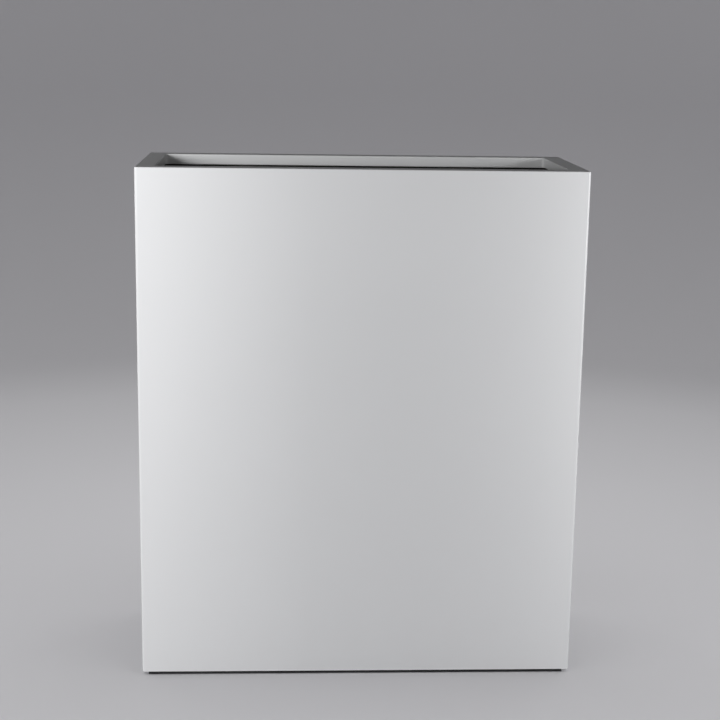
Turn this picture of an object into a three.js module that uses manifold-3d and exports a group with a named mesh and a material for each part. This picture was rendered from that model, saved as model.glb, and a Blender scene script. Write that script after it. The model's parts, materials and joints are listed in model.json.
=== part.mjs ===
// A tall rectangular fiberglass planter: a straight-sided moulded shell with a flat rim and a down-turned
// lip, a bonded floor with two plugged drains, top-hat ribs and rim battens that stiffen the walls, a
// perforated planting shelf that lifts out through the mouth, and two black runners it stands on.
// Millimetres, +Z up. The origin is on the ground under the middle of the planter, and the front faces -Y.

import * as THREE from "three";
import { mergeVertices } from "three/addons/utils/BufferGeometryUtils.js";
import Module from "manifold-3d";

const wasm = await Module();
wasm.setup();

// ---------------------------------------------------------------------------------------------------------
// Driving dimensions
// ---------------------------------------------------------------------------------------------------------

// Overall, runners included
const WIDTH = 775;
const DEPTH = 318;
const HEIGHT = 914;

// The moulded laminate
const WALL = 4.5;
const CORNER_RADIUS = 4;
const INNER_CORNER_RADIUS = 8;
const RIM_WIDTH = 32;
const RIM_EDGE_RADIUS = 2.2;
const LIP_DROP = 19;
const LIP_CORNER_RADIUS = 5;
const CHANNEL_FILLET = 2;
const BASE_EDGE_RADIUS = 2.6;
const BASE_FILLET = 3;
const BASE_RETURN_MARGIN = 8;
const RETURN_CORNER_RADIUS = 10;

// The bond line, or the running clearance, between two separate pieces
const GAP = 0.3;

// The runners underneath
const RUNNER_HEIGHT = 6;
const RUNNER_DEPTH = 34;
const RUNNER_SETBACK = 4;
const RUNNER_END_SETBACK = 11;
const RUNNER_CORNER_RADIUS = 3;

// The countersunk screws that hold the runners to the floor panel
const SCREWS_PER_RUNNER = 4;
const SCREW_END_DISTANCE = 48;
const SCREW_SHANK_RADIUS = 2;
const SCREW_HEAD_RADIUS = 4;
const SCREW_HEAD_HEIGHT = 2.2;
const SCREW_RECESS = 0.8;
const SCREW_POINT = 3;
const SCREW_BITE = 8;

// The floor panel and its drains
const FLOOR_THICKNESS = 12;
const DRAIN_SPACING = 400;
const DRAIN_BORE_RADIUS = 12.5;
const BARREL_WALL = 3.5;
const BARREL_TAIL = 1.5;
const DRAIN_FLANGE_WIDTH = 11;
const DRAIN_FLANGE_THICKNESS = 4;
const DRAIN_FLANGE_CHAMFER = 1.2;
const GASKET_THICKNESS = 2;
const GASKET_MARGIN = 1.5;
const NUT_THICKNESS = 5.5;
const NUT_WALL = 8;
const NUT_CHAMFER = 1.4;

// The rubber plugs
const PLUG_LENGTH = 18;
const PLUG_TAPER = 1.6;
const PLUG_HEAD_OVERLAP = 5;
const PLUG_HEAD_THICKNESS = 4;
const KNOB_RADIUS = 8;
const KNOB_NECK_RADIUS = 4.5;
const KNOB_NECK_HEIGHT = 5;
const KNOB_THICKNESS = 6;

// The rim battens and the wall ribs
const RIM_CORE_HEIGHT = 11;
const RIB_END_DISTANCE = 183;
const RIB_HEIGHT = 14;
const RIB_CREST_WIDTH = 34;
const RIB_BASE_WIDTH = 50;
const RIB_BRIM_WIDTH = 20;
const RIB_BRIM_THICKNESS = 2;
const RIB_CREST_RADIUS = 5;

// The lift-out planting shelf and the ledges that it rests on
const PLANTING_DEPTH = 305;
const SHELF_THICKNESS = 12;
const SHELF_CLEARANCE = 5;
const SHELF_CORNER_RADIUS = 12;
const LEDGE_BEARING = 16;
const LEDGE_THICKNESS = 5;
const LEDGE_HEIGHT = 40;
const LEDGE_ROOT_RADIUS = 5;
const LEDGE_TOE_RADIUS = 2;
const FINGER_SLOT_LENGTH = 90;
const FINGER_SLOT_WIDTH = 28;
const FINGER_SLOT_MARGIN = 20;
const PERFORATION_RADIUS = 5;
const PERFORATION_PITCH = 48;
const PERFORATION_MARGIN = 16;

// Facets of a quarter turn on a ring's corner and on an edge radius, and of a full turn on a lathed piece
const CORNER_STEPS = 5;
const EDGE_STEPS = 4;
const TURN_STEPS = 36;
const HOLE_STEPS = 12;
const SHARPEST_RADIUS = 0.4;

// ---------------------------------------------------------------------------------------------------------
// Levels and insets worked out from them
// ---------------------------------------------------------------------------------------------------------

const shellBottom = RUNNER_HEIGHT + GAP;
const baseReturn = RUNNER_SETBACK + RUNNER_DEPTH + BASE_RETURN_MARGIN;
const floorBottom = shellBottom + WALL + GAP;
const floorTop = floorBottom + FLOOR_THICKNESS;
const channelTop = HEIGHT - WALL;
const coreTop = channelTop - GAP;
const coreBottom = coreTop - RIM_CORE_HEIGHT;
const coreInset = RIM_WIDTH - WALL - GAP;
const ribBottom = floorTop + GAP;
const ribTop = coreBottom - GAP;
const shelfTop = HEIGHT - PLANTING_DEPTH;
const shelfBottom = shelfTop - SHELF_THICKNESS;
const shelfInset = RIM_WIDTH + SHELF_CLEARANCE;
const shelfWidth = WIDTH - 2 * shelfInset;
const shelfDepth = DEPTH - 2 * shelfInset;
const ledgeTop = shelfBottom - GAP;
const ledgeReach = shelfInset - WALL - GAP + LEDGE_BEARING;
const barrelRadius = DRAIN_BORE_RADIUS + BARREL_WALL;
const flangeRadius = barrelRadius + DRAIN_FLANGE_WIDTH;

// ---------------------------------------------------------------------------------------------------------
// Materials
// ---------------------------------------------------------------------------------------------------------

const finishes = {
  gelcoat: { color: 0xeef0f2, roughness: 0.3, metalness: 0 },
  laminate: { color: 0x2b2a28, roughness: 0.75, metalness: 0 },
  batten: { color: 0xb99f78, roughness: 0.85, metalness: 0 },
  pultrusion: { color: 0x5b6266, roughness: 0.6, metalness: 0 },
  shelf: { color: 0x1d1e20, roughness: 0.6, metalness: 0 },
  fitting: { color: 0x37393c, roughness: 0.45, metalness: 0 },
  rubber: { color: 0x141415, roughness: 0.85, metalness: 0 },
  steel: { color: 0xb9bcc0, roughness: 0.35, metalness: 1 },
};

function part(name, geometry, finish) {
  const mesh = new THREE.Mesh(geometry, new THREE.MeshStandardMaterial(finishes[finish]));
  mesh.name = name;
  return mesh;
}

// ---------------------------------------------------------------------------------------------------------
// Solids
// ---------------------------------------------------------------------------------------------------------

function toSolid(geometry) {
  const bare = geometry.clone();
  bare.deleteAttribute("normal");
  bare.deleteAttribute("uv");
  const merged = mergeVertices(bare, 1e-4);
  const vertProperties = new Float32Array(merged.getAttribute("position").array);
  const triVerts = new Uint32Array(merged.index.array);
  return new wasm.Manifold(new wasm.Mesh({ numProp: 3, vertProperties, triVerts }));
}

function toGeometry(solid) {
  const mesh = solid.getMesh();
  const geometry = new THREE.BufferGeometry();
  geometry.setAttribute("position", new THREE.BufferAttribute(new Float32Array(mesh.vertProperties), 3));
  geometry.setIndex(new THREE.BufferAttribute(new Uint32Array(mesh.triVerts), 1));
  const faceted = geometry.toNonIndexed();
  faceted.computeVertexNormals();
  return faceted;
}

// The geometry less each of the cutters.
function cut(geometry, cutters) {
  let solid = toSolid(geometry);
  for (const cutter of cutters) solid = solid.subtract(toSolid(cutter));
  return toGeometry(solid);
}

// A closed polygon of [x, y, radius] corners, each rounded by its radius.
function roundedShape(corners) {
  const shape = new THREE.Shape();
  const points = corners.map(([x, y]) => new THREE.Vector2(x, y));
  corners.forEach(([x, y, radius], i) => {
    const before = points.at(i - 1);
    const after = points[(i + 1) % points.length];
    const entry = before.clone().sub(points[i]).setLength(radius).add(points[i]);
    const exit = after.clone().sub(points[i]).setLength(radius).add(points[i]);
    if (i === 0) shape.moveTo(entry.x, entry.y);
    else shape.lineTo(entry.x, entry.y);
    if (radius > 0) shape.quadraticCurveTo(x, y, exit.x, exit.y);
  });
  shape.closePath();
  return shape;
}

// The points of a rounded rectangle about the origin, anticlockwise, as many for every radius.
function ring(halfX, halfY, radius) {
  const points = [];
  const corners = [
    [1, 1],
    [-1, 1],
    [-1, -1],
    [1, -1],
  ];
  corners.forEach(([signX, signY], quarter) => {
    for (let step = 0; step <= CORNER_STEPS; step++) {
      const angle = ((quarter + step / CORNER_STEPS) * Math.PI) / 2;
      const x = signX * (halfX - radius) + radius * Math.cos(angle);
      const y = signY * (halfY - radius) + radius * Math.sin(angle);
      points.push(new THREE.Vector2(x, y));
    }
  });
  return points;
}

// A rounded rectangle raised from z = 0, with the same chamfer round its lower and upper edges.
function slab(width, depth, thickness, radius, chamfer, holes = []) {
  const shape = new THREE.Shape(ring(width / 2, depth / 2, radius));
  shape.holes.push(...holes);
  const geometry = new THREE.ExtrudeGeometry(shape, {
    depth: thickness - 2 * chamfer,
    bevelEnabled: chamfer > 0,
    bevelThickness: chamfer,
    bevelSize: chamfer,
    bevelOffset: -chamfer,
    bevelSegments: 1,
    curveSegments: HOLE_STEPS,
  });
  return geometry.translate(0, 0, chamfer);
}

// A section in (inward, up) coordinates, drawn out along X and centred on x = 0.
function alongX(shape, length) {
  const geometry = new THREE.ExtrudeGeometry(shape, {
    depth: length,
    bevelEnabled: false,
    curveSegments: EDGE_STEPS,
  });
  geometry.translate(0, 0, -length / 2);
  return geometry.rotateX(Math.PI / 2).rotateZ(Math.PI / 2);
}

// A profile of [radius, z] points turned about Z. It starts and ends on the axis, or closes on itself.
function turned(profile, steps = TURN_STEPS) {
  const points = profile.map(([radius, z]) => new THREE.Vector2(radius, z));
  return new THREE.LatheGeometry(points, steps).rotateX(Math.PI / 2);
}

// ---------------------------------------------------------------------------------------------------------
// The moulded shell
// ---------------------------------------------------------------------------------------------------------

// The wall's section as stations { inset, z, radius }: inset is measured inwards from the outer face, and
// radius rounds the planter's corners at that station. It runs up the outside, over the rim, down and
// round the lip, under the rim, down the inside and back under the base.
function shellSection() {
  const section = [];
  const arc = (inset, z, size, from, to, radiusAt) => {
    for (let step = 0; step <= EDGE_STEPS; step++) {
      const angle = THREE.MathUtils.degToRad(from + ((to - from) * step) / EDGE_STEPS);
      const at = inset + size * Math.cos(angle);
      section.push({ inset: at, z: z + size * Math.sin(angle), radius: radiusAt(at) });
    }
  };
  const outside = (inset) => Math.max(CORNER_RADIUS - inset, SHARPEST_RADIUS);
  const inside = (inset) => Math.max(INNER_CORNER_RADIUS - (inset - WALL), SHARPEST_RADIUS);
  const lip = (inset) => LIP_CORNER_RADIUS + RIM_WIDTH - inset;

  const rimEdge = RIM_EDGE_RADIUS;
  const halfLip = WALL / 2;
  const backOfLip = RIM_WIDTH - WALL;
  const returnTop = shellBottom + WALL;

  arc(BASE_EDGE_RADIUS, shellBottom + BASE_EDGE_RADIUS, BASE_EDGE_RADIUS, -90, -180, outside);
  arc(rimEdge, HEIGHT - rimEdge, rimEdge, 180, 90, outside);
  arc(RIM_WIDTH - rimEdge, HEIGHT - rimEdge, rimEdge, 90, 0, lip);
  arc(RIM_WIDTH - halfLip, HEIGHT - LIP_DROP + halfLip, halfLip, 0, -180, lip);
  arc(backOfLip - CHANNEL_FILLET, channelTop - CHANNEL_FILLET, CHANNEL_FILLET, 0, 90, lip);
  arc(WALL + CHANNEL_FILLET, channelTop - CHANNEL_FILLET, CHANNEL_FILLET, 90, 180, inside);
  arc(WALL + BASE_FILLET, returnTop + BASE_FILLET, BASE_FILLET, 180, 270, inside);
  section.push({ inset: baseReturn, z: returnTop, radius: RETURN_CORNER_RADIUS });
  section.push({ inset: baseReturn, z: shellBottom, radius: RETURN_CORNER_RADIUS });
  return section;
}

// The surface through one ring for each station, closed from the last station back to the first.
function lofted(section) {
  const rings = section.map(({ inset, z, radius }) =>
    ring(WIDTH / 2 - inset, DEPTH / 2 - inset, radius).map((p) => [p.x, p.y, z]),
  );
  const count = rings[0].length;
  const at = (station, point) => (station % rings.length) * count + (point % count);
  const index = [];
  for (let station = 0; station < rings.length; station++) {
    for (let point = 0; point < count; point++) {
      const a = at(station, point);
      const b = at(station, point + 1);
      const c = at(station + 1, point + 1);
      const d = at(station + 1, point);
      index.push(a, b, c, a, c, d);
    }
  }
  const geometry = new THREE.BufferGeometry();
  geometry.setAttribute("position", new THREE.Float32BufferAttribute(rings.flat(2), 3));
  geometry.setIndex(index);
  return geometry;
}

// ---------------------------------------------------------------------------------------------------------
// Runners and their screws
// ---------------------------------------------------------------------------------------------------------

const runnerLength = WIDTH - 2 * RUNNER_END_SETBACK;
const runnerOffset = DEPTH / 2 - RUNNER_SETBACK - RUNNER_DEPTH / 2;

function screwPlaces() {
  const reach = runnerLength / 2 - SCREW_END_DISTANCE;
  const places = [];
  for (let i = 0; i < SCREWS_PER_RUNNER; i++) {
    places.push(-reach + (2 * reach * i) / (SCREWS_PER_RUNNER - 1));
  }
  return places;
}

// A screw pointing up. With a margin it is the hole that the screw goes through, open at the bottom.
function screw(margin = 0) {
  const head = SCREW_HEAD_RADIUS + margin;
  const shank = SCREW_SHANK_RADIUS + margin;
  const seat = SCREW_RECESS + SCREW_HEAD_HEIGHT;
  const tip = floorBottom + SCREW_BITE + margin;
  const face = margin > 0 ? -1 : SCREW_RECESS;
  const edge = SCREW_RECESS + margin;
  const profile = [
    [0, face],
    [head, face],
    [head, edge],
    [shank, seat + margin],
    [shank, tip - SCREW_POINT],
    [0, tip],
  ];
  return turned(margin > 0 ? profile : profile.filter((_, i) => i !== 2), HOLE_STEPS);
}

// The holes for both runners' screws, where they stand on the planter.
function screwHoles() {
  const rows = [-runnerOffset, runnerOffset];
  return rows.flatMap((y) => screwPlaces().map((x) => screw(GAP).translate(x, y, 0)));
}

function runner() {
  const bar = slab(runnerLength, RUNNER_DEPTH, RUNNER_HEIGHT, RUNNER_CORNER_RADIUS, 0);
  return cut(
    bar,
    screwPlaces().map((x) => screw(GAP).translate(x, 0, 0)),
  );
}

function runners() {
  const group = new THREE.Group();
  const sides = { front: 0, back: Math.PI };
  for (const [side, turn] of Object.entries(sides)) {
    const row = new THREE.Group();
    const bar = part(`base_runner_${side}`, runner(), "rubber");
    row.add(bar);
    screwPlaces().forEach((x, i) => {
      const fixing = part(`runner_screw_${side}_${i + 1}`, screw(), "steel");
      fixing.position.x = x;
      row.add(fixing);
    });
    row.position.y = -runnerOffset * Math.cos(turn);
    row.rotation.z = turn;
    group.add(row);
  }
  return group;
}

// ---------------------------------------------------------------------------------------------------------
// Floor panel and drains
// ---------------------------------------------------------------------------------------------------------

function floorPanel() {
  const inset = WALL + GAP;
  const radius = INNER_CORNER_RADIUS - GAP;
  const panel = slab(WIDTH - 2 * inset, DEPTH - 2 * inset, FLOOR_THICKNESS, radius, BASE_FILLET);
  panel.translate(0, 0, floorBottom);
  const bore = turned(
    [
      [0, floorBottom - 1],
      [barrelRadius + GAP, floorBottom - 1],
      [barrelRadius + GAP, floorTop + 1],
      [0, floorTop + 1],
    ],
    TURN_STEPS,
  );
  const bores = [-1, 1].map((side) => bore.clone().translate((side * DRAIN_SPACING) / 2, 0, 0));
  return cut(panel, [...screwHoles(), ...bores]);
}

// A drain, built about the Z axis at the planter's own levels.
function drain(side) {
  const group = new THREE.Group();
  const gasketTop = floorTop + GAP + GASKET_THICKNESS;
  const flangeBottom = gasketTop + GAP;
  const flangeTop = flangeBottom + DRAIN_FLANGE_THICKNESS;
  const nutTop = floorBottom - GAP;
  const nutBottom = nutTop - NUT_THICKNESS;
  const body = drainBody(flangeTop, flangeBottom, nutBottom - BARREL_TAIL);
  group.add(part(`drain_body_${side}`, body, "fitting"));
  group.add(part(`drain_gasket_${side}`, gasket(floorTop + GAP, gasketTop), "rubber"));
  group.add(part(`drain_nut_${side}`, nut(nutBottom), "fitting"));
  const plug = part(`drain_plug_${side}`, plugBody(), "rubber");
  plug.position.z = flangeTop + GAP;
  group.add(plug);
  return group;
}

function drainBody(flangeTop, flangeBottom, barrelBottom) {
  const chamfer = DRAIN_FLANGE_CHAMFER;
  return turned([
    [DRAIN_BORE_RADIUS, barrelBottom],
    [barrelRadius, barrelBottom],
    [barrelRadius, flangeBottom],
    [flangeRadius, flangeBottom],
    [flangeRadius, flangeTop - chamfer],
    [flangeRadius - chamfer, flangeTop],
    [DRAIN_BORE_RADIUS, flangeTop],
    [DRAIN_BORE_RADIUS, barrelBottom],
  ]);
}

function gasket(bottom, top) {
  const inner = barrelRadius + GAP;
  const outer = flangeRadius - GASKET_MARGIN;
  return turned([
    [inner, bottom],
    [outer, bottom],
    [outer, top],
    [inner, top],
    [inner, bottom],
  ]);
}

// A hexagon nut: a prism whose corners a turned blank chamfers, bored for the barrel.
function nut(bottom) {
  const flat = barrelRadius + NUT_WALL;
  const corner = flat / Math.cos(Math.PI / 6);
  const prism = new THREE.CylinderGeometry(corner, corner, NUT_THICKNESS, 6).rotateX(Math.PI / 2);
  const middle = NUT_THICKNESS / 2;
  const blank = turned([
    [0, -middle],
    [corner - NUT_CHAMFER, -middle],
    [corner, NUT_CHAMFER - middle],
    [corner, middle - NUT_CHAMFER],
    [corner - NUT_CHAMFER, middle],
    [0, middle],
  ]);
  const bore = turned([
    [0, -NUT_THICKNESS],
    [barrelRadius + GAP, -NUT_THICKNESS],
    [barrelRadius + GAP, NUT_THICKNESS],
    [0, NUT_THICKNESS],
  ]);
  const solid = toSolid(prism).intersect(toSolid(blank)).subtract(toSolid(bore));
  return toGeometry(solid).translate(0, 0, bottom + middle);
}

// The plug hangs from z = 0, the underside of its head: a tapered stopper below, a pull knob above.
function plugBody() {
  const wide = DRAIN_BORE_RADIUS - GAP;
  const narrow = wide - PLUG_TAPER;
  const head = DRAIN_BORE_RADIUS + PLUG_HEAD_OVERLAP;
  const neck = PLUG_HEAD_THICKNESS + KNOB_NECK_HEIGHT;
  const crown = neck + KNOB_THICKNESS;
  const bulge = neck + KNOB_THICKNESS / 2;
  return turned([
    [0, -PLUG_LENGTH],
    [narrow, -PLUG_LENGTH],
    [wide, 0],
    [head, 0],
    [head, PLUG_HEAD_THICKNESS],
    [KNOB_NECK_RADIUS, PLUG_HEAD_THICKNESS],
    [KNOB_NECK_RADIUS, neck],
    [KNOB_RADIUS * Math.cos(Math.PI / 6), neck],
    [KNOB_RADIUS, bulge],
    [KNOB_RADIUS * Math.cos(Math.PI / 6), crown],
    [0, crown],
  ]);
}

// ---------------------------------------------------------------------------------------------------------
// What is bonded to each wall, in the wall's own frame: X along the wall, Y inwards from its inner face
// ---------------------------------------------------------------------------------------------------------

// A batten of the rim, under the flange and between the wall and the lip.
function rimCore(length) {
  const near = GAP;
  const far = coreInset - WALL;
  const c = CHANNEL_FILLET;
  const shape = roundedShape([
    [near, coreBottom, 0],
    [far, coreBottom, 0],
    [far, coreTop - c, 0],
    [far - c, coreTop, 0],
    [near + c, coreTop, 0],
    [near, coreTop - c, 0],
  ]);
  return alongX(shape, length);
}

// A top-hat rib: a crest over a foam former, with a brim of laminate on the wall each side.
function wallRib() {
  const wall = GAP;
  const brim = wall + RIB_BRIM_THICKNESS;
  const crest = wall + RIB_HEIGHT;
  const halfBrim = RIB_BASE_WIDTH / 2 + RIB_BRIM_WIDTH;
  const halfBase = RIB_BASE_WIDTH / 2;
  const halfCrest = RIB_CREST_WIDTH / 2;
  const shape = roundedShape([
    [-halfBrim, wall, 0],
    [halfBrim, wall, 0],
    [halfBrim, brim, RIB_BRIM_THICKNESS / 2],
    [halfBase, brim, RIB_CREST_RADIUS],
    [halfCrest, crest, RIB_CREST_RADIUS],
    [-halfCrest, crest, RIB_CREST_RADIUS],
    [-halfBase, brim, RIB_CREST_RADIUS],
    [-halfBrim, brim, RIB_BRIM_THICKNESS / 2],
  ]);
  const geometry = new THREE.ExtrudeGeometry(shape, {
    depth: ribTop - ribBottom,
    bevelEnabled: false,
    curveSegments: EDGE_STEPS,
  });
  return geometry.translate(0, 0, ribBottom);
}

// An angle with its flat leg on top, for the shelf to rest on, and its other leg down the wall.
function shelfLedge(length) {
  const wall = GAP;
  const leg = wall + LEDGE_THICKNESS;
  const tip = wall + ledgeReach;
  const under = ledgeTop - LEDGE_THICKNESS;
  const shape = roundedShape([
    [wall, ledgeTop - LEDGE_HEIGHT, 0],
    [leg, ledgeTop - LEDGE_HEIGHT, LEDGE_TOE_RADIUS],
    [leg, under, LEDGE_ROOT_RADIUS],
    [tip, under, LEDGE_TOE_RADIUS],
    [tip, ledgeTop, 0],
    [wall, ledgeTop, 0],
  ]);
  return alongX(shape, length);
}

const longWall = WIDTH - 2 * WALL;
const ribPlace = longWall / 2 - RIB_END_DISTANCE;
const ribHalfWidth = RIB_BASE_WIDTH / 2 + RIB_BRIM_WIDTH;

function longWallParts(side) {
  const group = new THREE.Group();
  group.add(part(`rim_core_${side}`, rimCore(longWall - 2 * INNER_CORNER_RADIUS), "batten"));
  group.add(part(`shelf_ledge_${side}`, shelfLedge(2 * (ribPlace - ribHalfWidth - GAP)), "pultrusion"));
  for (const [end, direction] of [
    ["left", -1],
    ["right", 1],
  ]) {
    const rib = part(`wall_rib_${side}_${end}`, wallRib(), "laminate");
    // Left and right are the planter's own, so they change over on the wall that faces back.
    rib.position.x = direction * ribPlace * (side === "front" ? 1 : -1);
    group.add(rib);
  }
  return group;
}

function shortWallParts(side) {
  const group = new THREE.Group();
  const betweenCores = DEPTH - 2 * (coreInset + GAP);
  const betweenCorners = DEPTH - 2 * (WALL + INNER_CORNER_RADIUS);
  group.add(part(`rim_core_${side}`, rimCore(betweenCores), "batten"));
  group.add(part(`shelf_ledge_${side}`, shelfLedge(betweenCorners), "pultrusion"));
  return group;
}

function wallParts() {
  const group = new THREE.Group();
  const front = longWallParts("front");
  const back = longWallParts("back");
  const left = shortWallParts("left");
  const right = shortWallParts("right");
  front.position.y = WALL - DEPTH / 2;
  back.position.y = DEPTH / 2 - WALL;
  back.rotation.z = Math.PI;
  left.position.x = WALL - WIDTH / 2;
  left.rotation.z = -Math.PI / 2;
  right.position.x = WIDTH / 2 - WALL;
  right.rotation.z = Math.PI / 2;
  group.add(front, back, left, right);
  return group;
}

// ---------------------------------------------------------------------------------------------------------
// The planting shelf
// ---------------------------------------------------------------------------------------------------------

// Places on a line about zero, a pitch apart, that stay within reach of the middle.
function spread(reach, pitch) {
  const steps = Math.max(0, Math.floor((2 * reach) / pitch));
  return Array.from({ length: steps + 1 }, (_, i) => (i - steps / 2) * pitch);
}

function planterShelf() {
  const halfSlot = FINGER_SLOT_WIDTH / 2;
  const slotPlace = shelfWidth / 2 - LEDGE_BEARING - FINGER_SLOT_MARGIN - halfSlot;
  const holes = [-1, 1].map((side) => {
    const straight = FINGER_SLOT_LENGTH / 2 - halfSlot;
    const slot = new THREE.Path();
    slot.absarc(side * slotPlace, straight, halfSlot, 0, Math.PI, false);
    slot.absarc(side * slotPlace, -straight, halfSlot, Math.PI, 2 * Math.PI, false);
    slot.closePath();
    return slot;
  });
  const reachX = slotPlace - halfSlot - PERFORATION_MARGIN - PERFORATION_RADIUS;
  const reachY = shelfDepth / 2 - LEDGE_BEARING - PERFORATION_MARGIN - PERFORATION_RADIUS;
  for (const x of spread(reachX, PERFORATION_PITCH)) {
    for (const y of spread(reachY, PERFORATION_PITCH)) {
      const hole = Array.from({ length: HOLE_STEPS }, (_, i) => {
        const angle = (2 * Math.PI * i) / HOLE_STEPS;
        return new THREE.Vector2(
          x + PERFORATION_RADIUS * Math.cos(angle),
          y + PERFORATION_RADIUS * Math.sin(angle),
        );
      });
      holes.push(new THREE.Path(hole));
    }
  }
  const shelf = part(
    "planting_shelf",
    slab(shelfWidth, shelfDepth, SHELF_THICKNESS, SHELF_CORNER_RADIUS, 0, holes),
    "shelf",
  );
  shelf.position.z = shelfBottom;
  return shelf;
}

// ---------------------------------------------------------------------------------------------------------
// The planter
// ---------------------------------------------------------------------------------------------------------

const planter = new THREE.Group();
planter.add(part("planter_shell", cut(lofted(shellSection()), screwHoles()), "gelcoat"));
planter.add(part("floor_panel", floorPanel(), "laminate"));
planter.add(wallParts());
planter.add(planterShelf());
planter.add(runners());
for (const [side, direction] of [
  ["left", -1],
  ["right", 1],
]) {
  const fitting = drain(side);
  fitting.position.x = (direction * DRAIN_SPACING) / 2;
  planter.add(fitting);
}

export default planter;
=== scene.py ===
"""Finished looks of a tall fiberglass planter, made round its packed model.

The planter is a moulded white shell with a dark flow coat inside, stiffened by top-hat ribs and rim
battens, with a lift-out planting shelf over two plugged drains, on two rubber runners. Lengths are in
metres. +Z is up, and the front faces -Y.
"""

import json
import math
import random

import bmesh
import bpy
from mathutils import Matrix, Vector

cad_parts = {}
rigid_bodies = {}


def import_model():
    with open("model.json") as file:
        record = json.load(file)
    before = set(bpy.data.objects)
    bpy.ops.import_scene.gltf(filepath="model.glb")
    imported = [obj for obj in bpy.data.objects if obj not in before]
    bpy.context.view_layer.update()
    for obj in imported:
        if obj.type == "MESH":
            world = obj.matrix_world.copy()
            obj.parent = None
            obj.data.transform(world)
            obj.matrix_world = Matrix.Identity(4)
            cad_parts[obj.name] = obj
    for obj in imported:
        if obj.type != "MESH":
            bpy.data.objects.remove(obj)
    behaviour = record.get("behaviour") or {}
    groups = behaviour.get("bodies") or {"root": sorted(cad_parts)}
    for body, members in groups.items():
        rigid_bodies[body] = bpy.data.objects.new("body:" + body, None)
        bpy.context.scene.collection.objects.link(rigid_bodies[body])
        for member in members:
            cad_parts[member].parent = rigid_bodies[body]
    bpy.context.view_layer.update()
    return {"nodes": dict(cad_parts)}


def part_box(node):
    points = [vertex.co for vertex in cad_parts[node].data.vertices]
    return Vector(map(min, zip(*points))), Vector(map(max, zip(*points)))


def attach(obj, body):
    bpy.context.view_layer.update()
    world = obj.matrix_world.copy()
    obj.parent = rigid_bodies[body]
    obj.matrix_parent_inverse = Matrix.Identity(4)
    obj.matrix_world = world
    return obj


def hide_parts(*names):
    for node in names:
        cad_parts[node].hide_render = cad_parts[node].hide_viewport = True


bl_info = {
    "name": "Tall Fiberglass Planter",
    "version": (1, 0, 0),
    "blender": (4, 5, 0),
    "location": "3D View > Sidebar > Planter",
    "description": "Makes the finished pieces of a tall fiberglass planter round its packed model",
    "category": "Add Mesh",
}

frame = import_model()

BODY = "planter"
ENDS = ("left", "right")
LONG_SIDES = ("front", "back")
SIDES = LONG_SIDES + ENDS

# --- What the packed model says ---

SHELL_LOW, SHELL_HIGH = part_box("planter_shell")
FLOOR_LOW, FLOOR_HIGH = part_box("floor_panel")
SHELF_LOW, SHELF_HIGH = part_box("planting_shelf")
RIB_LOW, RIB_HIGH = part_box("wall_rib_front_left")
DRAIN_LOW, DRAIN_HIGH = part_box("drain_body_right")
GASKET_LOW, GASKET_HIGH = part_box("drain_gasket_right")
NUT_LOW, NUT_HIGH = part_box("drain_nut_right")
PLUG_LOW, PLUG_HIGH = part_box("drain_plug_right")
SCREW_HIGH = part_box("runner_screw_front_1")[1]


def middle(node):
    """The middle of a node's box."""
    low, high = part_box(node)
    return (low + high) / 2


# --- Sizes and colours that a user would change ---


def kind_of(make, **fixed):
    """A short way to write properties of one kind."""
    return lambda name, description, default: make(
        name=name, description=description, default=default, **fixed
    )


length = kind_of(bpy.props.FloatProperty, min=0, precision=4, unit="LENGTH")
number = kind_of(bpy.props.IntProperty, min=1)
share = kind_of(bpy.props.FloatProperty, min=0, max=1, subtype="FACTOR")
angle = kind_of(bpy.props.FloatProperty, unit="ROTATION")
focal = kind_of(bpy.props.FloatProperty, min=1, unit="CAMERA")
power = kind_of(bpy.props.FloatProperty, min=0, unit="POWER")
strength = kind_of(bpy.props.FloatProperty, min=0)
colour = kind_of(bpy.props.FloatVectorProperty, size=3, min=0, max=1, subtype="COLOR")
place = kind_of(bpy.props.FloatVectorProperty, size=3, subtype="TRANSLATION")


class PlanterShellSizes(bpy.types.PropertyGroup):
    """Sizes of the moulded shell."""

    width: length("Width", "Outside width", SHELL_HIGH.x - SHELL_LOW.x)
    depth: length("Depth", "Outside depth", SHELL_HIGH.y - SHELL_LOW.y)
    top: length("Top", "Height of the rim above the ground", SHELL_HIGH.z)
    bottom: length("Bottom", "Height of the shell's underside above the ground", SHELL_LOW.z)
    wall: length("Wall", "Thickness of the laminate", 0.0045)
    rim_width: length("Rim width", "Width of the flat rim", 0.032)
    lip_drop: length("Lip drop", "How far the lip turns down inside", 0.019)
    base_return: length("Base return", "Width of the flange turned in under the floor", 0.046)
    corner_radius: length("Corner radius", "Outside corners, seen from above", 0.004)
    inner_corner_radius: length("Inner corner radius", "Inside corners, seen from above", 0.008)
    lip_corner_radius: length("Lip corner radius", "Corners of the mouth, seen from above", 0.005)
    return_corner_radius: length("Return corner radius", "Corners of the base opening", 0.010)
    rim_edge: length("Rim edge", "Radius along both edges of the rim", 0.0015)
    base_edge: length("Base edge", "Radius along the bottom edge", 0.0014)
    inner_fillet: length("Inner fillet", "Radius in the channel under the rim and by the floor", 0.0025)
    arc_steps: number("Arc steps", "Facets of each rounded edge", 8)


class PlanterShelfSizes(bpy.types.PropertyGroup):
    """Sizes of the lift-out planting shelf."""

    corner_radius: length("Corner radius", "Corners of the shelf, seen from above", 0.012)
    chamfer: length("Chamfer", "Bevel along the shelf's edges and holes", 0.0012)
    hole_radius: length("Hole radius", "Radius of each drainage hole", 0.005)
    hole_pitch: length("Hole pitch", "Distance between drainage holes", 0.048)
    columns: number("Columns", "Drainage holes along the shelf", 12)
    rows: number("Rows", "Drainage holes across the shelf", 4)
    slot_place: length("Slot place", "Distance of a finger slot from the middle", 0.3005)
    slot_width: length("Slot width", "Width of a finger slot", 0.028)
    slot_length: length("Slot length", "Length of a finger slot", 0.090)


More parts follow.
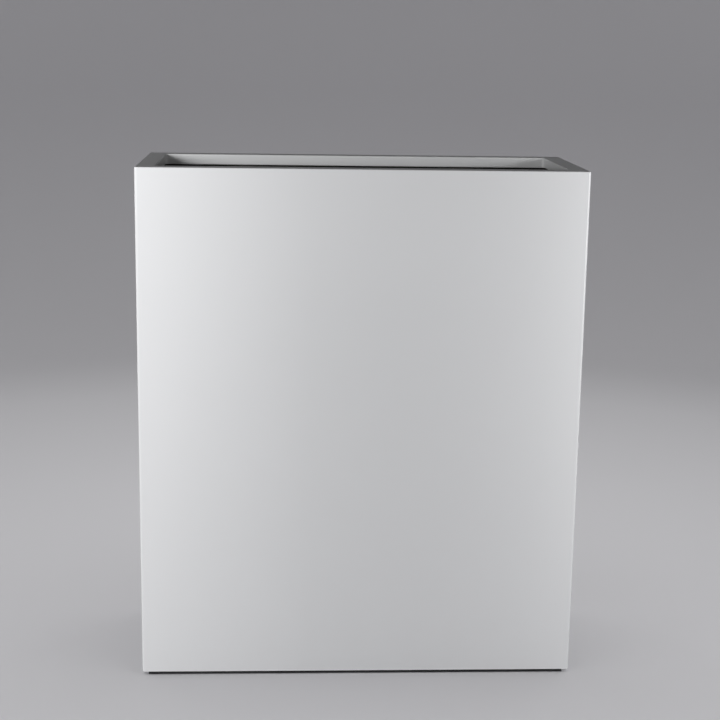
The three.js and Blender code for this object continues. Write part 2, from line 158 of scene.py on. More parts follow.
class PlanterStiffenerSizes(bpy.types.PropertyGroup):
    """Sizes of the ribs and the ledges."""

    rib_crest: length("Rib crest", "Width of a rib's crest", 0.034)
    rib_base: length("Rib base", "Width of a rib at its brim", 0.050)
    rib_brim: length("Rib brim", "Width of the laminate laid on the wall beside a rib", 0.020)
    brim_thickness: length("Brim thickness", "Thickness of that laminate", 0.002)
    rib_radius: length("Rib radius", "Rounding along a rib's crest and foot", 0.005)
    hand_lay: length("Hand lay", "How far the laminate's edge wanders", 0.0016)
    ring_pitch: length("Ring pitch", "Distance between the rings of a rib's mesh", 0.012)
    ledge_thickness: length("Ledge thickness", "Thickness of each leg of a ledge", 0.005)
    ledge_root: length("Ledge root", "Radius inside a ledge's angle", 0.005)
    ledge_toe: length("Ledge toe", "Radius at the toe of each leg", 0.002)
    bead_radius: length("Bead radius", "Radius of a bead of bonding paste", 0.0034)
    bead_sink: length("Bead sink", "Distance of a bead's middle from the faces that it joins", 0.0016)
    bead_wobble: share("Bead wobble", "How far a bead's radius varies", 0.2)


class PlanterFittingSizes(bpy.types.PropertyGroup):
    """Sizes of the drains, plugs, runners and screws."""

    bore_radius: length("Bore radius", "Inside radius of a drain", 0.0125)
    barrel_wall: length("Barrel wall", "Wall of a drain's barrel", 0.0035)
    flange_thickness: length("Flange thickness", "Thickness of a drain's flange", 0.004)
    thread_pitch: length("Thread pitch", "Pitch of the thread on a barrel", 0.002)
    thread_depth: length("Thread depth", "Depth of the thread on a barrel", 0.0009)
    plug_length: length("Plug length", "Length of a plug below its head", 0.018)
    plug_taper: length("Plug taper", "How much narrower a plug is at its tip", 0.0016)
    plug_head: length("Plug head", "Thickness of a plug's head", 0.004)
    knob_radius: length("Knob radius", "Radius of a plug's knob", 0.008)
    knob_neck: length("Knob neck", "Radius of the neck under a plug's knob", 0.0045)
    knob_height: length("Knob height", "Thickness of a plug's knob", 0.006)
    screws: number("Screws", "Screws in each runner", 4)
    screw_head: length("Screw head", "Radius of a screw's head", 0.004)
    screw_shank: length("Screw shank", "Radius of a screw's shank", 0.002)
    screw_seat: length("Screw seat", "Height of a countersunk head", 0.0022)
    screw_recess: length("Screw recess", "How deep a screw sits in its runner", 0.0008)
    screw_pitch: length("Screw pitch", "Pitch of the thread on a screw", 0.0014)
    groove_depth: length("Groove depth", "Depth of the grooves under a runner", 0.0009)
    grooves: number("Grooves", "Grooves under each runner", 7)
    turn_steps: number("Turn steps", "Facets of a turned piece", 72)


class PlanterColours(bpy.types.PropertyGroup):
    """Linear colours of the planter's finishes and of its stage."""

    gelcoat: colour("Gelcoat", "White outer gelcoat", (0.805, 0.812, 0.818))
    flow_coat: colour("Flow coat", "Dark coat inside", (0.016, 0.0152, 0.0132))
    strand: colour("Glass strand", "Strands that show through the laminate", (0.055, 0.052, 0.043))
    pultrusion: colour("Pultrusion", "Ledges of pultruded glass fibre", (0.11, 0.12, 0.122))
    board: colour("Board", "Recycled plastic of the planting shelf", (0.020, 0.020, 0.022))
    fitting: colour("Fitting", "Moulded plastic of the drains", (0.040, 0.042, 0.045))
    rubber: colour("Rubber", "Rubber of the plugs, gaskets and runners", (0.012, 0.012, 0.013))
    steel: colour("Steel", "Stainless steel of the screws", (0.60, 0.60, 0.62))
    plywood: colour("Plywood", "Battens inside the rim", (0.48, 0.35, 0.20))
    paste: colour("Paste", "Bonding paste", (0.085, 0.083, 0.076))
    dust: colour("Dust", "Dust on what faces up", (0.30, 0.27, 0.23))
    floor: colour("Stage floor", "Floor that the planter stands on", (0.66, 0.655, 0.675))
    backdrop: colour("Backdrop", "Wall round the floor", (0.47, 0.465, 0.485))
    beyond: colour("Beyond", "What is seen over and under the backdrop", (0.237, 0.236, 0.241))


class PlanterStudio(bpy.types.PropertyGroup):
    """The camera, the lamps and the backdrop."""

    camera: place("Camera", "Where the camera stands", (-0.1373, -2.7014, 1.1358))
    yaw: angle("Yaw", "Camera's turn to the right", math.radians(3.03))
    pitch: angle("Pitch", "Camera's tilt down", math.radians(12.226))
    roll: angle("Roll", "Camera's lean", math.radians(-0.875))
    lens: focal("Lens", "Focal length on a 36 mm sensor", 74.97)
    key_power: power("Key", "Soft box at the front left", 74.0)
    fill_power: power("Fill", "Soft box at the front right", 58.0)
    front_power: power("Front", "Low soft box in front", 5.0)
    back_left_power: power("Back left", "Soft box behind on the left", 13.0)
    back_right_power: power("Back right", "Soft box behind on the right", 6.5)
    mouth_power: power("Mouth", "Soft box in the mouth, which lights only the inside", 1.5)
    under_power: power("Under", "Soft box below the floor, for views from below", 12.0)
    top_power: power("Top", "Soft box above, which lights only the pieces inside the shell", 20.0)
    stage_power: power("Stage", "Soft box above, which lights only the floor and the backdrop", 105.0)
    room: strength("Room", "Even light from the room", 0.055)
    floor_radius: length("Floor radius", "Radius of the flat floor", 2.6)
    cove_radius: length("Cove radius", "Radius between the floor and the backdrop", 0.9)
    backdrop_height: length("Backdrop height", "Height of the backdrop", 1.5)


class PlanterSettings(bpy.types.PropertyGroup):
    """All of the planter's settings."""

    shell: bpy.props.PointerProperty(type=PlanterShellSizes)
    shelf: bpy.props.PointerProperty(type=PlanterShelfSizes)
    stiffeners: bpy.props.PointerProperty(type=PlanterStiffenerSizes)
    fittings: bpy.props.PointerProperty(type=PlanterFittingSizes)
    colours: bpy.props.PointerProperty(type=PlanterColours)
    studio: bpy.props.PointerProperty(type=PlanterStudio)


# --- Node trees ---


def arithmetic(operation, swapped=False):
    """An operator of Formula that adds one Math node."""

    def step(self, other):
        return self.graph.math(operation, *((other, self) if swapped else (self, other)))

    return step


class Formula:
    """A socket in arithmetic, where each step adds a Math node."""

    def __init__(self, graph, socket):
        self.graph = graph
        self.socket = socket

    __add__, __radd__ = arithmetic("ADD"), arithmetic("ADD", swapped=True)
    __sub__, __mul__ = arithmetic("SUBTRACT"), arithmetic("MULTIPLY")
    __truediv__, __gt__ = arithmetic("DIVIDE"), arithmetic("GREATER_THAN")


class Graph:
    """A node tree with short ways to add its nodes."""

    def __init__(self, tree):
        self.tree = tree

    def add(self, kind, settings=None, **inputs):
        """Adds a node. An input's name is written with _ for its spaces."""
        node = self.tree.nodes.new(kind)
        for name, value in (settings or {}).items():
            setattr(node, name, value)
        for name, value in inputs.items():
            self.feed(node.inputs[name.replace("_", " ")], value)
        return node

    def out(self, kind, settings=None, **inputs):
        """Adds a node and gives its first output."""
        return self.add(kind, settings, **inputs).outputs[0]

    def feed(self, socket, value):
        """Links a socket or a formula, or sets a plain value."""
        value = value.socket if isinstance(value, Formula) else value
        if isinstance(value, bpy.types.NodeSocket):
            self.tree.links.new(value, socket)
        else:
            socket.default_value = value

    def math(self, operation, *values):
        """A Math node over one value or more."""
        node = self.add("ShaderNodeMath", {"operation": operation})
        for socket, value in zip(node.inputs, values):
            self.feed(socket, value)
        return Formula(self, node.outputs[0])

    def vector(self, operation, *values):
        """A Vector Math node over one value or more."""
        node = self.add("ShaderNodeVectorMath", {"operation": operation})
        for socket, value in zip(node.inputs, values):
            self.feed(socket, value)
        return node.outputs["Vector"]

    def point(self, x=0.0, y=0.0, z=0.0):
        """A vector from its three parts."""
        return self.out("ShaderNodeCombineXYZ", X=x, Y=y, Z=z)

    def parts(self, vector):
        """The three parts of a vector as formulas."""
        node = self.add("ShaderNodeSeparateXYZ", Vector=vector)
        return [Formula(self, socket) for socket in node.outputs]

    def mix(self, factor, low, high):
        """A colour between two."""
        node = self.add("ShaderNodeMix", {"data_type": "RGBA"}, Factor=factor, A=low, B=high)
        return node.outputs["Result"]

    def between(self, value, low, high, to_low=0.0, to_high=1.0):
        """A value carried from one range to another, and kept there."""
        node = self.add(
            "ShaderNodeMapRange", Value=value, From_Min=low, From_Max=high, To_Min=to_low, To_Max=to_high
        )
        return Formula(self, node.outputs["Result"])

    def here(self):
        """The place on the piece, in metres."""
        return self.add("ShaderNodeTexCoord").outputs["Object"]

    def noise(self, vector, **inputs):
        """Noise about 0.5 at a place."""
        return self.out("ShaderNodeTexNoise", Vector=vector, **inputs)

    def realized(self, geometry, material):
        """Geometry without instances, in one finish."""
        whole = self.out("GeometryNodeRealizeInstances", Geometry=geometry)
        return self.out("GeometryNodeSetMaterial", Geometry=whole, Material=material)


def grouped(name, output, **inputs):
    """Turns a function of a graph and its inputs into one that gives their group, made once.

    The function gives what goes to the group's one output: geometry, or else a plain value.
    """
    inputs = {label.replace("_", " "): kind for label, kind in inputs.items()}
    forms_geometry = output == "Geometry"

    def keeper(fill):
        def kept():
            if name in bpy.data.node_groups:
                return bpy.data.node_groups[name]
            kind = "GeometryNodeTree" if forms_geometry else "ShaderNodeTree"
            tree = bpy.data.node_groups.new(name, kind)
            for label, kind in inputs.items():
                tree.interface.new_socket(
                    name=label, in_out="INPUT", socket_type=f"NodeSocket{kind.title()}"
                )
            result = "NodeSocketGeometry" if forms_geometry else "NodeSocketFloat"
            tree.interface.new_socket(name=output, in_out="OUTPUT", socket_type=result)
            graph = Graph(tree)
            entry = graph.add("NodeGroupInput")
            given = {label: Formula(graph, entry.outputs[label]) for label in inputs}
            graph.add("NodeGroupOutput", **{output: fill(graph, given)})
            return tree

        kept.__doc__ = fill.__doc__
        return kept

    return keeper


# --- Outlines and meshes ---


def rounded(corners, steps=6):
    """A closed outline through (x, y, radius) corners, each rounded by an arc of its radius."""
    outline = []
    for index, (x, y, radius) in enumerate(corners):
        here = Vector((x, y))
        if radius <= 0:
            outline.append(here)
            continue
        before = Vector(corners[index - 1][:2]) - here
        after = Vector(corners[(index + 1) % len(corners)][:2]) - here
        half = before.angle(after) / 2
        middle_way = (before.normalized() + after.normalized()).normalized()
        centre = here + middle_way * radius / math.sin(half)
        start = here + before.normalized() * radius / math.tan(half) - centre
        end = here + after.normalized() * radius / math.tan(half) - centre
        sweep = start.angle_signed(end)
        for step in range(steps + 1):
            turn = Matrix.Rotation(-sweep * step / steps, 2)
            outline.append(centre + turn @ start)
    return outline


def rectangle(half_x, half_y, radius, steps=6):
    """A rounded rectangle about the origin, anticlockwise."""
    corners = [(half_x, -half_y), (half_x, half_y), (-half_x, half_y), (-half_x, -half_y)]
    return rounded([(x, y, radius) for x, y in corners], steps)


def circle(radius, steps):
    """A circle about the origin, anticlockwise."""
    turns = [2 * math.pi * step / steps for step in range(steps)]
    return [Vector((radius * math.cos(turn), radius * math.sin(turn))) for turn in turns]


def loft(rings, capped=True, looped=False):
    """(vertices, faces) of a surface through rings of equally many points."""
    count = len(rings[0])
    vertices = [tuple(point) for ring in rings for point in ring]
    faces = []
    for index in range(len(rings) if looped else len(rings) - 1):
        low, high = index * count, (index + 1) % len(rings) * count
        for point in range(count):
            after = (point + 1) % count
            faces.append((low + point, low + after, high + after, high + point))
    if capped and not looped:
        faces.append(tuple(reversed(range(count))))
        faces.append(tuple(range(len(vertices) - count, len(vertices))))
    return vertices, faces


def stacked(levels, capped=True, looped=False):
    """(vertices, faces) through (outline, height) levels."""
    return loft([[(*point, z) for point in outline] for outline, z in levels], capped, looped)


def turned(profile, steps):
    """(vertices, faces) of (radius, z) points turned about Z, from axis to axis or all round."""
    levels = [(circle(max(radius, 0), steps), z) for radius, z in profile]
    return stacked(levels, capped=False, looped=profile[0][0] > 0)


def moved(made, node):
    """The same mesh about the middle of a node's box, at its own height."""
    vertices, faces = made
    axis = middle(node)
    axis.z = 0
    return [tuple(Vector(vertex) + axis) for vertex in vertices], faces


SHARP_ANGLE = math.radians(32)
WELD = 1e-6


def cleaned(mesh, closed=True):
    """Welds a mesh, turns a closed one's faces outwards and marks its sharp edges."""
    work = bmesh.new()
    work.from_mesh(mesh)
    bmesh.ops.remove_doubles(work, verts=work.verts, dist=WELD)
    bmesh.ops.dissolve_degenerate(work, edges=work.edges, dist=WELD)
    if closed:
        bmesh.ops.recalc_face_normals(work, faces=work.faces)
    work.to_mesh(mesh)
    work.free()
    mesh.shade_smooth()
    mesh.set_sharp_from_angle(angle=SHARP_ANGLE)
    return mesh


def new_object(name, mesh):
    """An object in the scene at the origin."""
    made = bpy.data.objects.new(name, mesh)
    bpy.context.scene.collection.objects.link(made)
    return made


def solid(name, made, finish=None, closed=True):
    """An object of (vertices, faces) in one finish."""
    mesh = bpy.data.meshes.new(name)
    mesh.from_pydata(made[0], [], made[1])
    if finish:
        mesh.materials.append(finish)
    return new_object(name, cleaned(mesh, closed))


def grown(base, tree, values):
    """Replaces an object by what a geometry node tree makes of it, as a plain mesh."""
    maker = base.modifiers.new("Make", "NODES")
    maker.node_group = tree
    names = {item.name: item.identifier for item in tree.interface.items_tree if item.in_out == "INPUT"}
    for name, value in values.items():
        maker[names[name]] = value
    evaluated = base.evaluated_get(bpy.context.evaluated_depsgraph_get())
    mesh = bpy.data.meshes.new_from_object(evaluated)
    base.modifiers.remove(maker)
    if not mesh.polygons:
        raise RuntimeError(f"{base.name}: {tree.name} made no faces")
    base.data = mesh
    mesh.name = base.name
    return base


def seat(piece, body, nodes):
    """Gives a finished piece its body, the nodes that it stands for and its slot."""
    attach(piece, body)
    if nodes:
        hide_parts(*nodes)


# --- Effects that several finishes share ---


@grouped("Fine Grain", "Grain", Scale="float", Detail="float", Stretch="vector")
def fine_grain(graph, given):
    """Even noise in the piece's own place, for orange peel, moulded grain and buffing marks."""
    stretched = graph.vector("MULTIPLY", graph.here(), given["Stretch"])
    return graph.noise(stretched, Scale=given["Scale"], Detail=given["Detail"])


@grouped("Slow Mottle", "Value", Scale="float", Low="float", High="float")
def slow_mottle(graph, given):
    """A slow drift between two values, for uneven gloss and colour."""
    noise = graph.noise(graph.here(), Scale=given["Scale"], Detail=3.0, Roughness=0.45)
    return graph.between(noise, 0.3, 0.7, given["Low"], given["High"])


STRAND_TURNS = (12, 58, 97, 141, 169)
STRAND_SHEAR = 7.31
FACES_AXIS = 0.7


@grouped("Glass Strands", "Strands", Strand_Length="float", Strand_Width="float")
def glass_strands(graph, given):
    """Chopped glass strands that lie at all angles in the face's own plane."""
    x, y, z = graph.parts(graph.here())
    facing = graph.add("ShaderNodeNewGeometry").outputs["True Normal"]
    faces_x, _, faces_z = graph.parts(graph.vector("ABSOLUTE", facing))
    across = x + (faces_x > FACES_AXIS) * (y - x)
    along = z + (faces_z > FACES_AXIS) * (y - z)
    flat = graph.point(across, along)
    most = 0.0
    for layer, degrees in enumerate(STRAND_TURNS):
        turn = math.radians(degrees)
        about_z = {"rotation_type": "Z_AXIS"}
        layered = graph.out("ShaderNodeVectorRotate", about_z, Vector=flat, Angle=turn)
        run, width, _ = graph.parts(layered)
        cell = graph.point(
            run / given["Strand Length"] + STRAND_SHEAR * layer, width / given["Strand Width"]
        )
        spots = graph.add(
            "ShaderNodeTexVoronoi", {"voronoi_dimensions": "2D"}, Vector=cell, Scale=1.0, Randomness=1.0
        )
        strand = graph.between(spots.outputs["Distance"], 0.38, 0.20)
        most = graph.math("MAXIMUM", strand, most)
    return most


@grouped("Settled Dust", "Dust", Amount="float", Patch_Scale="float")
def settled_dust(graph, given):
    """Thin patchy dust on what faces up."""
    _, _, up = graph.parts(graph.add("ShaderNodeNewGeometry").outputs["Normal"])
    noise = graph.noise(graph.here(), Scale=given["Patch Scale"], Detail=6.0)
    return graph.between(noise, 0.35, 0.75) * graph.between(up, 0.5, 0.95) * given["Amount"]


SCUFF_AXIS = (0.3, 0.5, 0.8)
SCUFF_WAYS = ((31, (1.0, 0.04, 1.0)), (114, (1.0, 0.06, 1.0)))


@grouped("Handling Scuffs", "Scuffs", Scale="float", Amount="float")
def handling_scuffs(graph, given):
    """Short fine scratches in two directions."""
    here = graph.here()
    turn_about = {"rotation_type": "AXIS_ANGLE"}
    most = 0.0
    for degrees, stretch in SCUFF_WAYS:
        turn = math.radians(degrees)
        way = graph.out("ShaderNodeVectorRotate", turn_about, Vector=here, Axis=SCUFF_AXIS, Angle=turn)
        noise = graph.noise(graph.vector("MULTIPLY", way, stretch), Scale=given["Scale"], Detail=2.0)
        most = graph.math("MAXIMUM", graph.between(noise, 0.68, 0.74), most)
    return most * given["Amount"]


# --- Finishes ---


def rgba(colour_value, level=1.0):
    """A colour with its alpha, lighter or darker by a factor."""
    return (*(min(part * level, 1.0) for part in colour_value), 1.0)


class Finish(Graph):
    """A material round one Principled shader, with short ways to place the shared effects."""

    def __init__(self, name, metallic, ior):
        material = bpy.data.materials.new(name)
        material.use_nodes = True
        super().__init__(material.node_tree)
        self.shader = self.tree.nodes["Principled BSDF"]
        self.set(Metallic=metallic, IOR=ior)

    def set(self, **inputs):
        """Feeds the shader's own sockets."""
        for name, value in inputs.items():
            self.feed(self.shader.inputs[name.replace("_", " ")], value)

    def effect(self, tree, **inputs):
        """Places a shared effect and gives its output."""
        return Formula(self, self.out("ShaderNodeGroup", {"node_tree": tree}, **inputs))

    def grain(self, scale, detail=2.0, stretch=(1.0, 1.0, 1.0)):
        """Fine grain at a scale in 1/m."""
        return self.effect(fine_grain(), Scale=scale, Detail=detail, Stretch=stretch)

    def mottle(self, scale, low=0.0, high=1.0):
        """A slow drift between two values."""
        return self.effect(slow_mottle(), Scale=scale, Low=low, High=high)

    def scuffs(self, scale, amount):
        """Fine scratches at a scale in 1/m."""
        return self.effect(handling_scuffs(), Scale=scale, Amount=amount)

    def shades(self, factor, shade, low, high):
        """One colour, darker or lighter by a factor from low to high."""
        return self.mix(factor, rgba(shade, low), rgba(shade, high))

    def dusted(self, tone, amount, patch_scale):
        """A colour under thin dust."""
        dust = self.effect(settled_dust(), Amount=amount, Patch_Scale=patch_scale)
        return self.mix(dust, tone, rgba(colours().dust))

    def relief(self, *layers):
        """Bumps the surface by (height, depth in metres) layers, the broadest first."""
        normal = None
        for height, depth in layers:
            bump = self.add("ShaderNodeBump", Height=height, Distance=depth, Strength=1.0)
            if normal:
                self.feed(bump.inputs["Normal"], normal)
            normal = bump.outputs["Normal"]
        self.set(Normal=normal)


def colours():
    """The scene's colours."""
    return bpy.context.scene.planter.colours


def finish_of(name, metallic=0.0, ior=1.5):
    """Turns a function that fills in a finish into one that gives its material, made once."""

    def keeper(fill):
        def kept():
            if name not in bpy.data.materials:
                fill(Finish(name, metallic, ior), colours())
            return bpy.data.materials[name]

        kept.__doc__ = fill.__doc__
        return kept

    return keeper


@finish_of("White Gelcoat")
def white_gelcoat(finish, tones):
    """Satin white gelcoat: even colour, a breath of orange peel and slow waves from the mould."""
    finish.set(Base_Color=finish.shades(finish.mottle(2.2), tones.gelcoat, 0.985, 1.01))
    buffing = finish.grain(900.0, 2.0, (1.0, 1.0, 0.12))
    finish.set(Roughness=finish.mottle(6.0, 0.27, 0.31) + buffing * 0.03)
    finish.relief((finish.mottle(3.5), 0.00016), (finish.grain(330.0, 1.0), 0.000006))


@finish_of("Dark Flow Coat", ior=1.48)
def dark_flow_coat(finish, tones):
    """Dark coat brushed over the laminate inside, with strands and brush marks showing through."""
    strands = finish.effect(glass_strands(), Strand_Length=0.05, Strand_Width=0.0032)
    thin = finish.mottle(9.0, 0.05, 0.55)
    coat = finish.shades(finish.mottle(24.0), tones.flow_coat, 0.8, 1.3)
    finish.set(Base_Color=finish.mix(strands * thin, coat, rgba(tones.strand)))
    finish.set(Roughness=finish.mottle(30.0, 0.38, 0.62))
    brushed = finish.grain(160.0, 3.0, (1.0, 1.0, 0.22))
    finish.relief((finish.mottle(12.0), 0.0016), (strands, 0.00022), (brushed, 0.00016))


@finish_of("Hand Laid Laminate")
def hand_laid_laminate(finish, tones):
    """Laminate laid by hand over the ribs: strands stand out more, and the resin is glossier."""
    strands = finish.effect(glass_strands(), Strand_Length=0.038, Strand_Width=0.0026)
    coat = finish.shades(finish.mottle(16.0), tones.flow_coat, 1.0, 2.2)
    finish.set(Base_Color=finish.mix(strands * 0.7, coat, rgba(tones.strand, 1.3)))
    finish.set(Roughness=finish.mottle(40.0, 0.28, 0.5))
    finish.relief((finish.mottle(30.0), 0.0012), (strands, 0.00035))


@finish_of("Pultruded Angle")
def pultruded_angle(finish, tones):
    """Pultruded glass fibre, with rovings along the angle and a thin veil."""
    rovings = finish.grain(600.0, 2.0, (0.05, 0.05, 1.0))
    tone = finish.shades(rovings, tones.pultrusion, 0.75, 1.3)
    finish.set(Base_Color=finish.dusted(tone, 0.15, 70.0), Roughness=finish.mottle(20.0, 0.45, 0.6))
    finish.relief((rovings, 0.00008), (finish.grain(1500.0), 0.00002))


@finish_of("Recycled Board")
def recycled_board(finish, tones):
    """Black recycled board: leather grain, flecks of other plastics and light scuffs."""
    black, here = tones.board, finish.here()
    flecks = finish.add("ShaderNodeTexVoronoi", Vector=here, Scale=260.0, Randomness=1.0)
    fleck_tone, _, _ = finish.parts(flecks.outputs["Color"])
    fleck = finish.between(flecks.outputs["Distance"], 0.16, 0.10) * (fleck_tone > 0.72)
    tone = finish.shades(finish.mottle(14.0), black, 0.8, 1.4)
    tone = finish.mix(fleck * 0.7, tone, rgba(black, 7.0))
    scuffs = finish.scuffs(90.0, 0.35)
    tone = finish.mix(scuffs, tone, rgba(black, 5.0))
    finish.set(Base_Color=finish.dusted(tone, 0.10, 60.0))
    finish.set(Roughness=finish.mottle(18.0, 0.48, 0.62) - scuffs * 0.1)
    leather = finish.add("ShaderNodeTexVoronoi", {"feature": "SMOOTH_F1"}, Vector=here, Scale=620.0)
    finish.relief((finish.mottle(8.0), 0.0006), (leather.outputs["Distance"], 0.00018))


@finish_of("Moulded Fitting")
def moulded_fitting(finish, tones):
    """Dark grey moulded plastic with a spark texture."""
    tone = finish.shades(finish.mottle(60.0), tones.fitting, 0.85, 1.2)
    tone = finish.mix(finish.scuffs(260.0, 0.3), tone, rgba(tones.fitting, 3.0))
    finish.set(Base_Color=finish.dusted(tone, 0.3, 120.0), Roughness=finish.mottle(80.0, 0.36, 0.48))
    finish.relief((finish.grain(2400.0, 3.0), 0.00003))


@finish_of("Black Rubber", ior=1.46)
def black_rubber(finish, tones):
    """Matt black rubber with a fine bloom and light scuffs."""
    tone = finish.shades(finish.mottle(45.0), tones.rubber, 0.9, 1.9)
    tone = finish.mix(finish.scuffs(180.0, 0.4), tone, rgba(tones.rubber, 5.0))
    finish.set(Base_Color=finish.dusted(tone, 0.25, 90.0), Roughness=finish.mottle(70.0, 0.72, 0.9))
    finish.relief((finish.grain(1800.0, 4.0), 0.00005))


@finish_of("Stainless Screw", metallic=1.0)
def stainless_screw(finish, tones):
    """Stainless steel with fine turning marks."""
    marks = finish.grain(2600.0, 2.0, (1.0, 1.0, 6.0))
    finish.set(Base_Color=finish.shades(marks, tones.steel, 0.85, 1.1))
    finish.set(Roughness=finish.mottle(300.0, 0.26, 0.42))
    finish.relief((marks, 0.00002))


VENEER = 0.0018


@finish_of("Sealed Plywood")
def sealed_plywood(finish, tones):
    """Plywood battens: veneers stacked in height, with grain along each layer and a sealing coat."""
    _, _, height = finish.parts(finish.here())
    veneer = finish.math("PINGPONG", height, VENEER) / VENEER
    fibres = finish.grain(420.0, 4.0, (0.06, 0.06, 1.0))
    tone = finish.shades(fibres, tones.plywood, 0.72, 1.15)
    finish.set(Base_Color=finish.mix((veneer > 0.5) * 0.35, tone, rgba(tones.plywood, 0.5)))
    finish.set(Roughness=finish.mottle(50.0, 0.5, 0.7))
    finish.relief((fibres, 0.00012))


@finish_of("Bonding Paste")
def bonding_paste(finish, tones):
    """Grey bonding paste, tooled by hand."""
    finish.set(Base_Color=finish.shades(finish.mottle(55.0), tones.paste, 0.7, 1.25))
    finish.set(Roughness=finish.mottle(90.0, 0.42, 0.6))
    finish.relief((finish.grain(240.0, 3.0), 0.0004), (finish.grain(1400.0, 2.0), 0.00005))


@finish_of("Pale Stage")
def pale_stage(finish, tones):
    """Pale matt floor and backdrop, which let the light and the view through from behind."""
    studio = bpy.context.scene.planter.studio
    x, y, _ = finish.parts(finish.here())
    away = finish.math("SQRT", x * x + y * y)
    wall = finish.between(away, studio.floor_radius * 0.8, studio.floor_radius + studio.cove_radius)
    pale = finish.mix(wall, rgba(tones.floor), rgba(tones.backdrop))
    finish.set(Base_Color=pale, Roughness=finish.mottle(1.5, 0.7, 0.8))
    behind = finish.add("ShaderNodeNewGeometry").outputs["Backfacing"]
    through = finish.math("MAXIMUM", behind, finish.add("ShaderNodeLightPath").outputs["Is Shadow Ray"])
    either = finish.add("ShaderNodeMixShader", Fac=through)
    finish.feed(either.inputs[1], finish.shader.outputs[0])
    finish.feed(either.inputs[2], finish.out("ShaderNodeBsdfTransparent"))
    finish.feed(finish.tree.nodes["Material Output"].inputs["Surface"], either.outputs[0])


# --- Geometry node trees ---


def label(name):
    """The label of a tree's input from a property's name."""
    return name.replace("_", " ").title()


SHELL_INPUTS = {label(name): "float" for name in PlanterShellSizes.__annotations__}
SHELL_INPUTS.update({"Arc Steps": "int", "Gelcoat": "material", "Flow Coat": "material"})
SUPPORT = 0.0012
LEAST_RADIUS = 0.0004
RETURN_EDGE = 0.0006
QUARTER_TURN = math.pi / 2


def shell_section(given):
    """The corners of the wall's section: (inset, height, rounding, reach, is inside).

    Inset is measured inwards from the outer face. The planter's corner radius there is its reach less
    its inset. A corner that isn't rounded only holds the face flat beside one that is.
    """
    wall, rim, drop = given["Wall"], given["Rim Width"], given["Lip Drop"]
    top, bottom, base = given["Top"], given["Bottom"], given["Base Return"]
    rim_edge, base_edge, fillet = given["Rim Edge"], given["Base Edge"], given["Inner Fillet"]
    outer = given["Corner Radius"]
    lip = given["Lip Corner Radius"] + rim
    inner = given["Inner Corner Radius"] + wall
    back = given["Return Corner Radius"] + base
    half_lip = wall * 0.49
    lip_foot = top - drop
    channel = top - wall
    floor = bottom + wall
    return [
        (base_edge + SUPPORT, bottom, 0.0, outer, 0.0),
        (0.0, bottom, base_edge, outer, 0.0),
        (0.0, bottom + base_edge + SUPPORT, 0.0, outer, 0.0),
        (0.0, top - rim_edge - SUPPORT, 0.0, outer, 0.0),
        (0.0, top, rim_edge, outer, 0.0),
        (rim_edge + SUPPORT, top, 0.0, outer, 0.0),
        (rim - rim_edge - SUPPORT, top, 0.0, lip, 0.0),
        (rim, top, rim_edge, lip, 0.0),
        (rim, top - rim_edge - SUPPORT, 0.0, lip, 0.0),
        (rim, lip_foot + half_lip + SUPPORT, 0.0, lip, 0.0),
        (rim, lip_foot, half_lip, lip, 0.0),
        (rim - wall, lip_foot, half_lip, lip, 1.0),
        (rim - wall, channel, fillet, lip, 1.0),
        (wall, channel, fillet, inner, 1.0),
        (wall, channel - fillet - SUPPORT, 0.0, inner, 1.0),
        (wall, floor + fillet + SUPPORT, 0.0, inner, 1.0),
        (wall, floor, fillet, inner, 1.0),
        (base, floor, RETURN_EDGE, back, 1.0),
        (base, bottom, RETURN_EDGE, back, 0.0),
    ]


def switched(graph, index, vectors):
    """One of several vectors by its index."""
    node = graph.add("GeometryNodeIndexSwitch", {"data_type": "VECTOR"}, Index=index)
    while len(node.index_switch_items) < len(vectors):
        node.index_switch_items.new()
    for slot, value in zip(node.inputs[1:], vectors):
        graph.feed(slot, value)
    return node.outputs[0]


def stored(graph, geometry, name, value, kind):
    """Geometry that keeps a value at its points by name."""
    settings = {"data_type": kind, "domain": "POINT"}
    return graph.out(
        "GeometryNodeStoreNamedAttribute", settings, Geometry=geometry, Name=name, Value=value
    )


def recalled(graph, name, kind):
    """The value that is kept by name."""
    return graph.out("GeometryNodeInputNamedAttribute", {"data_type": kind}, Name=name)


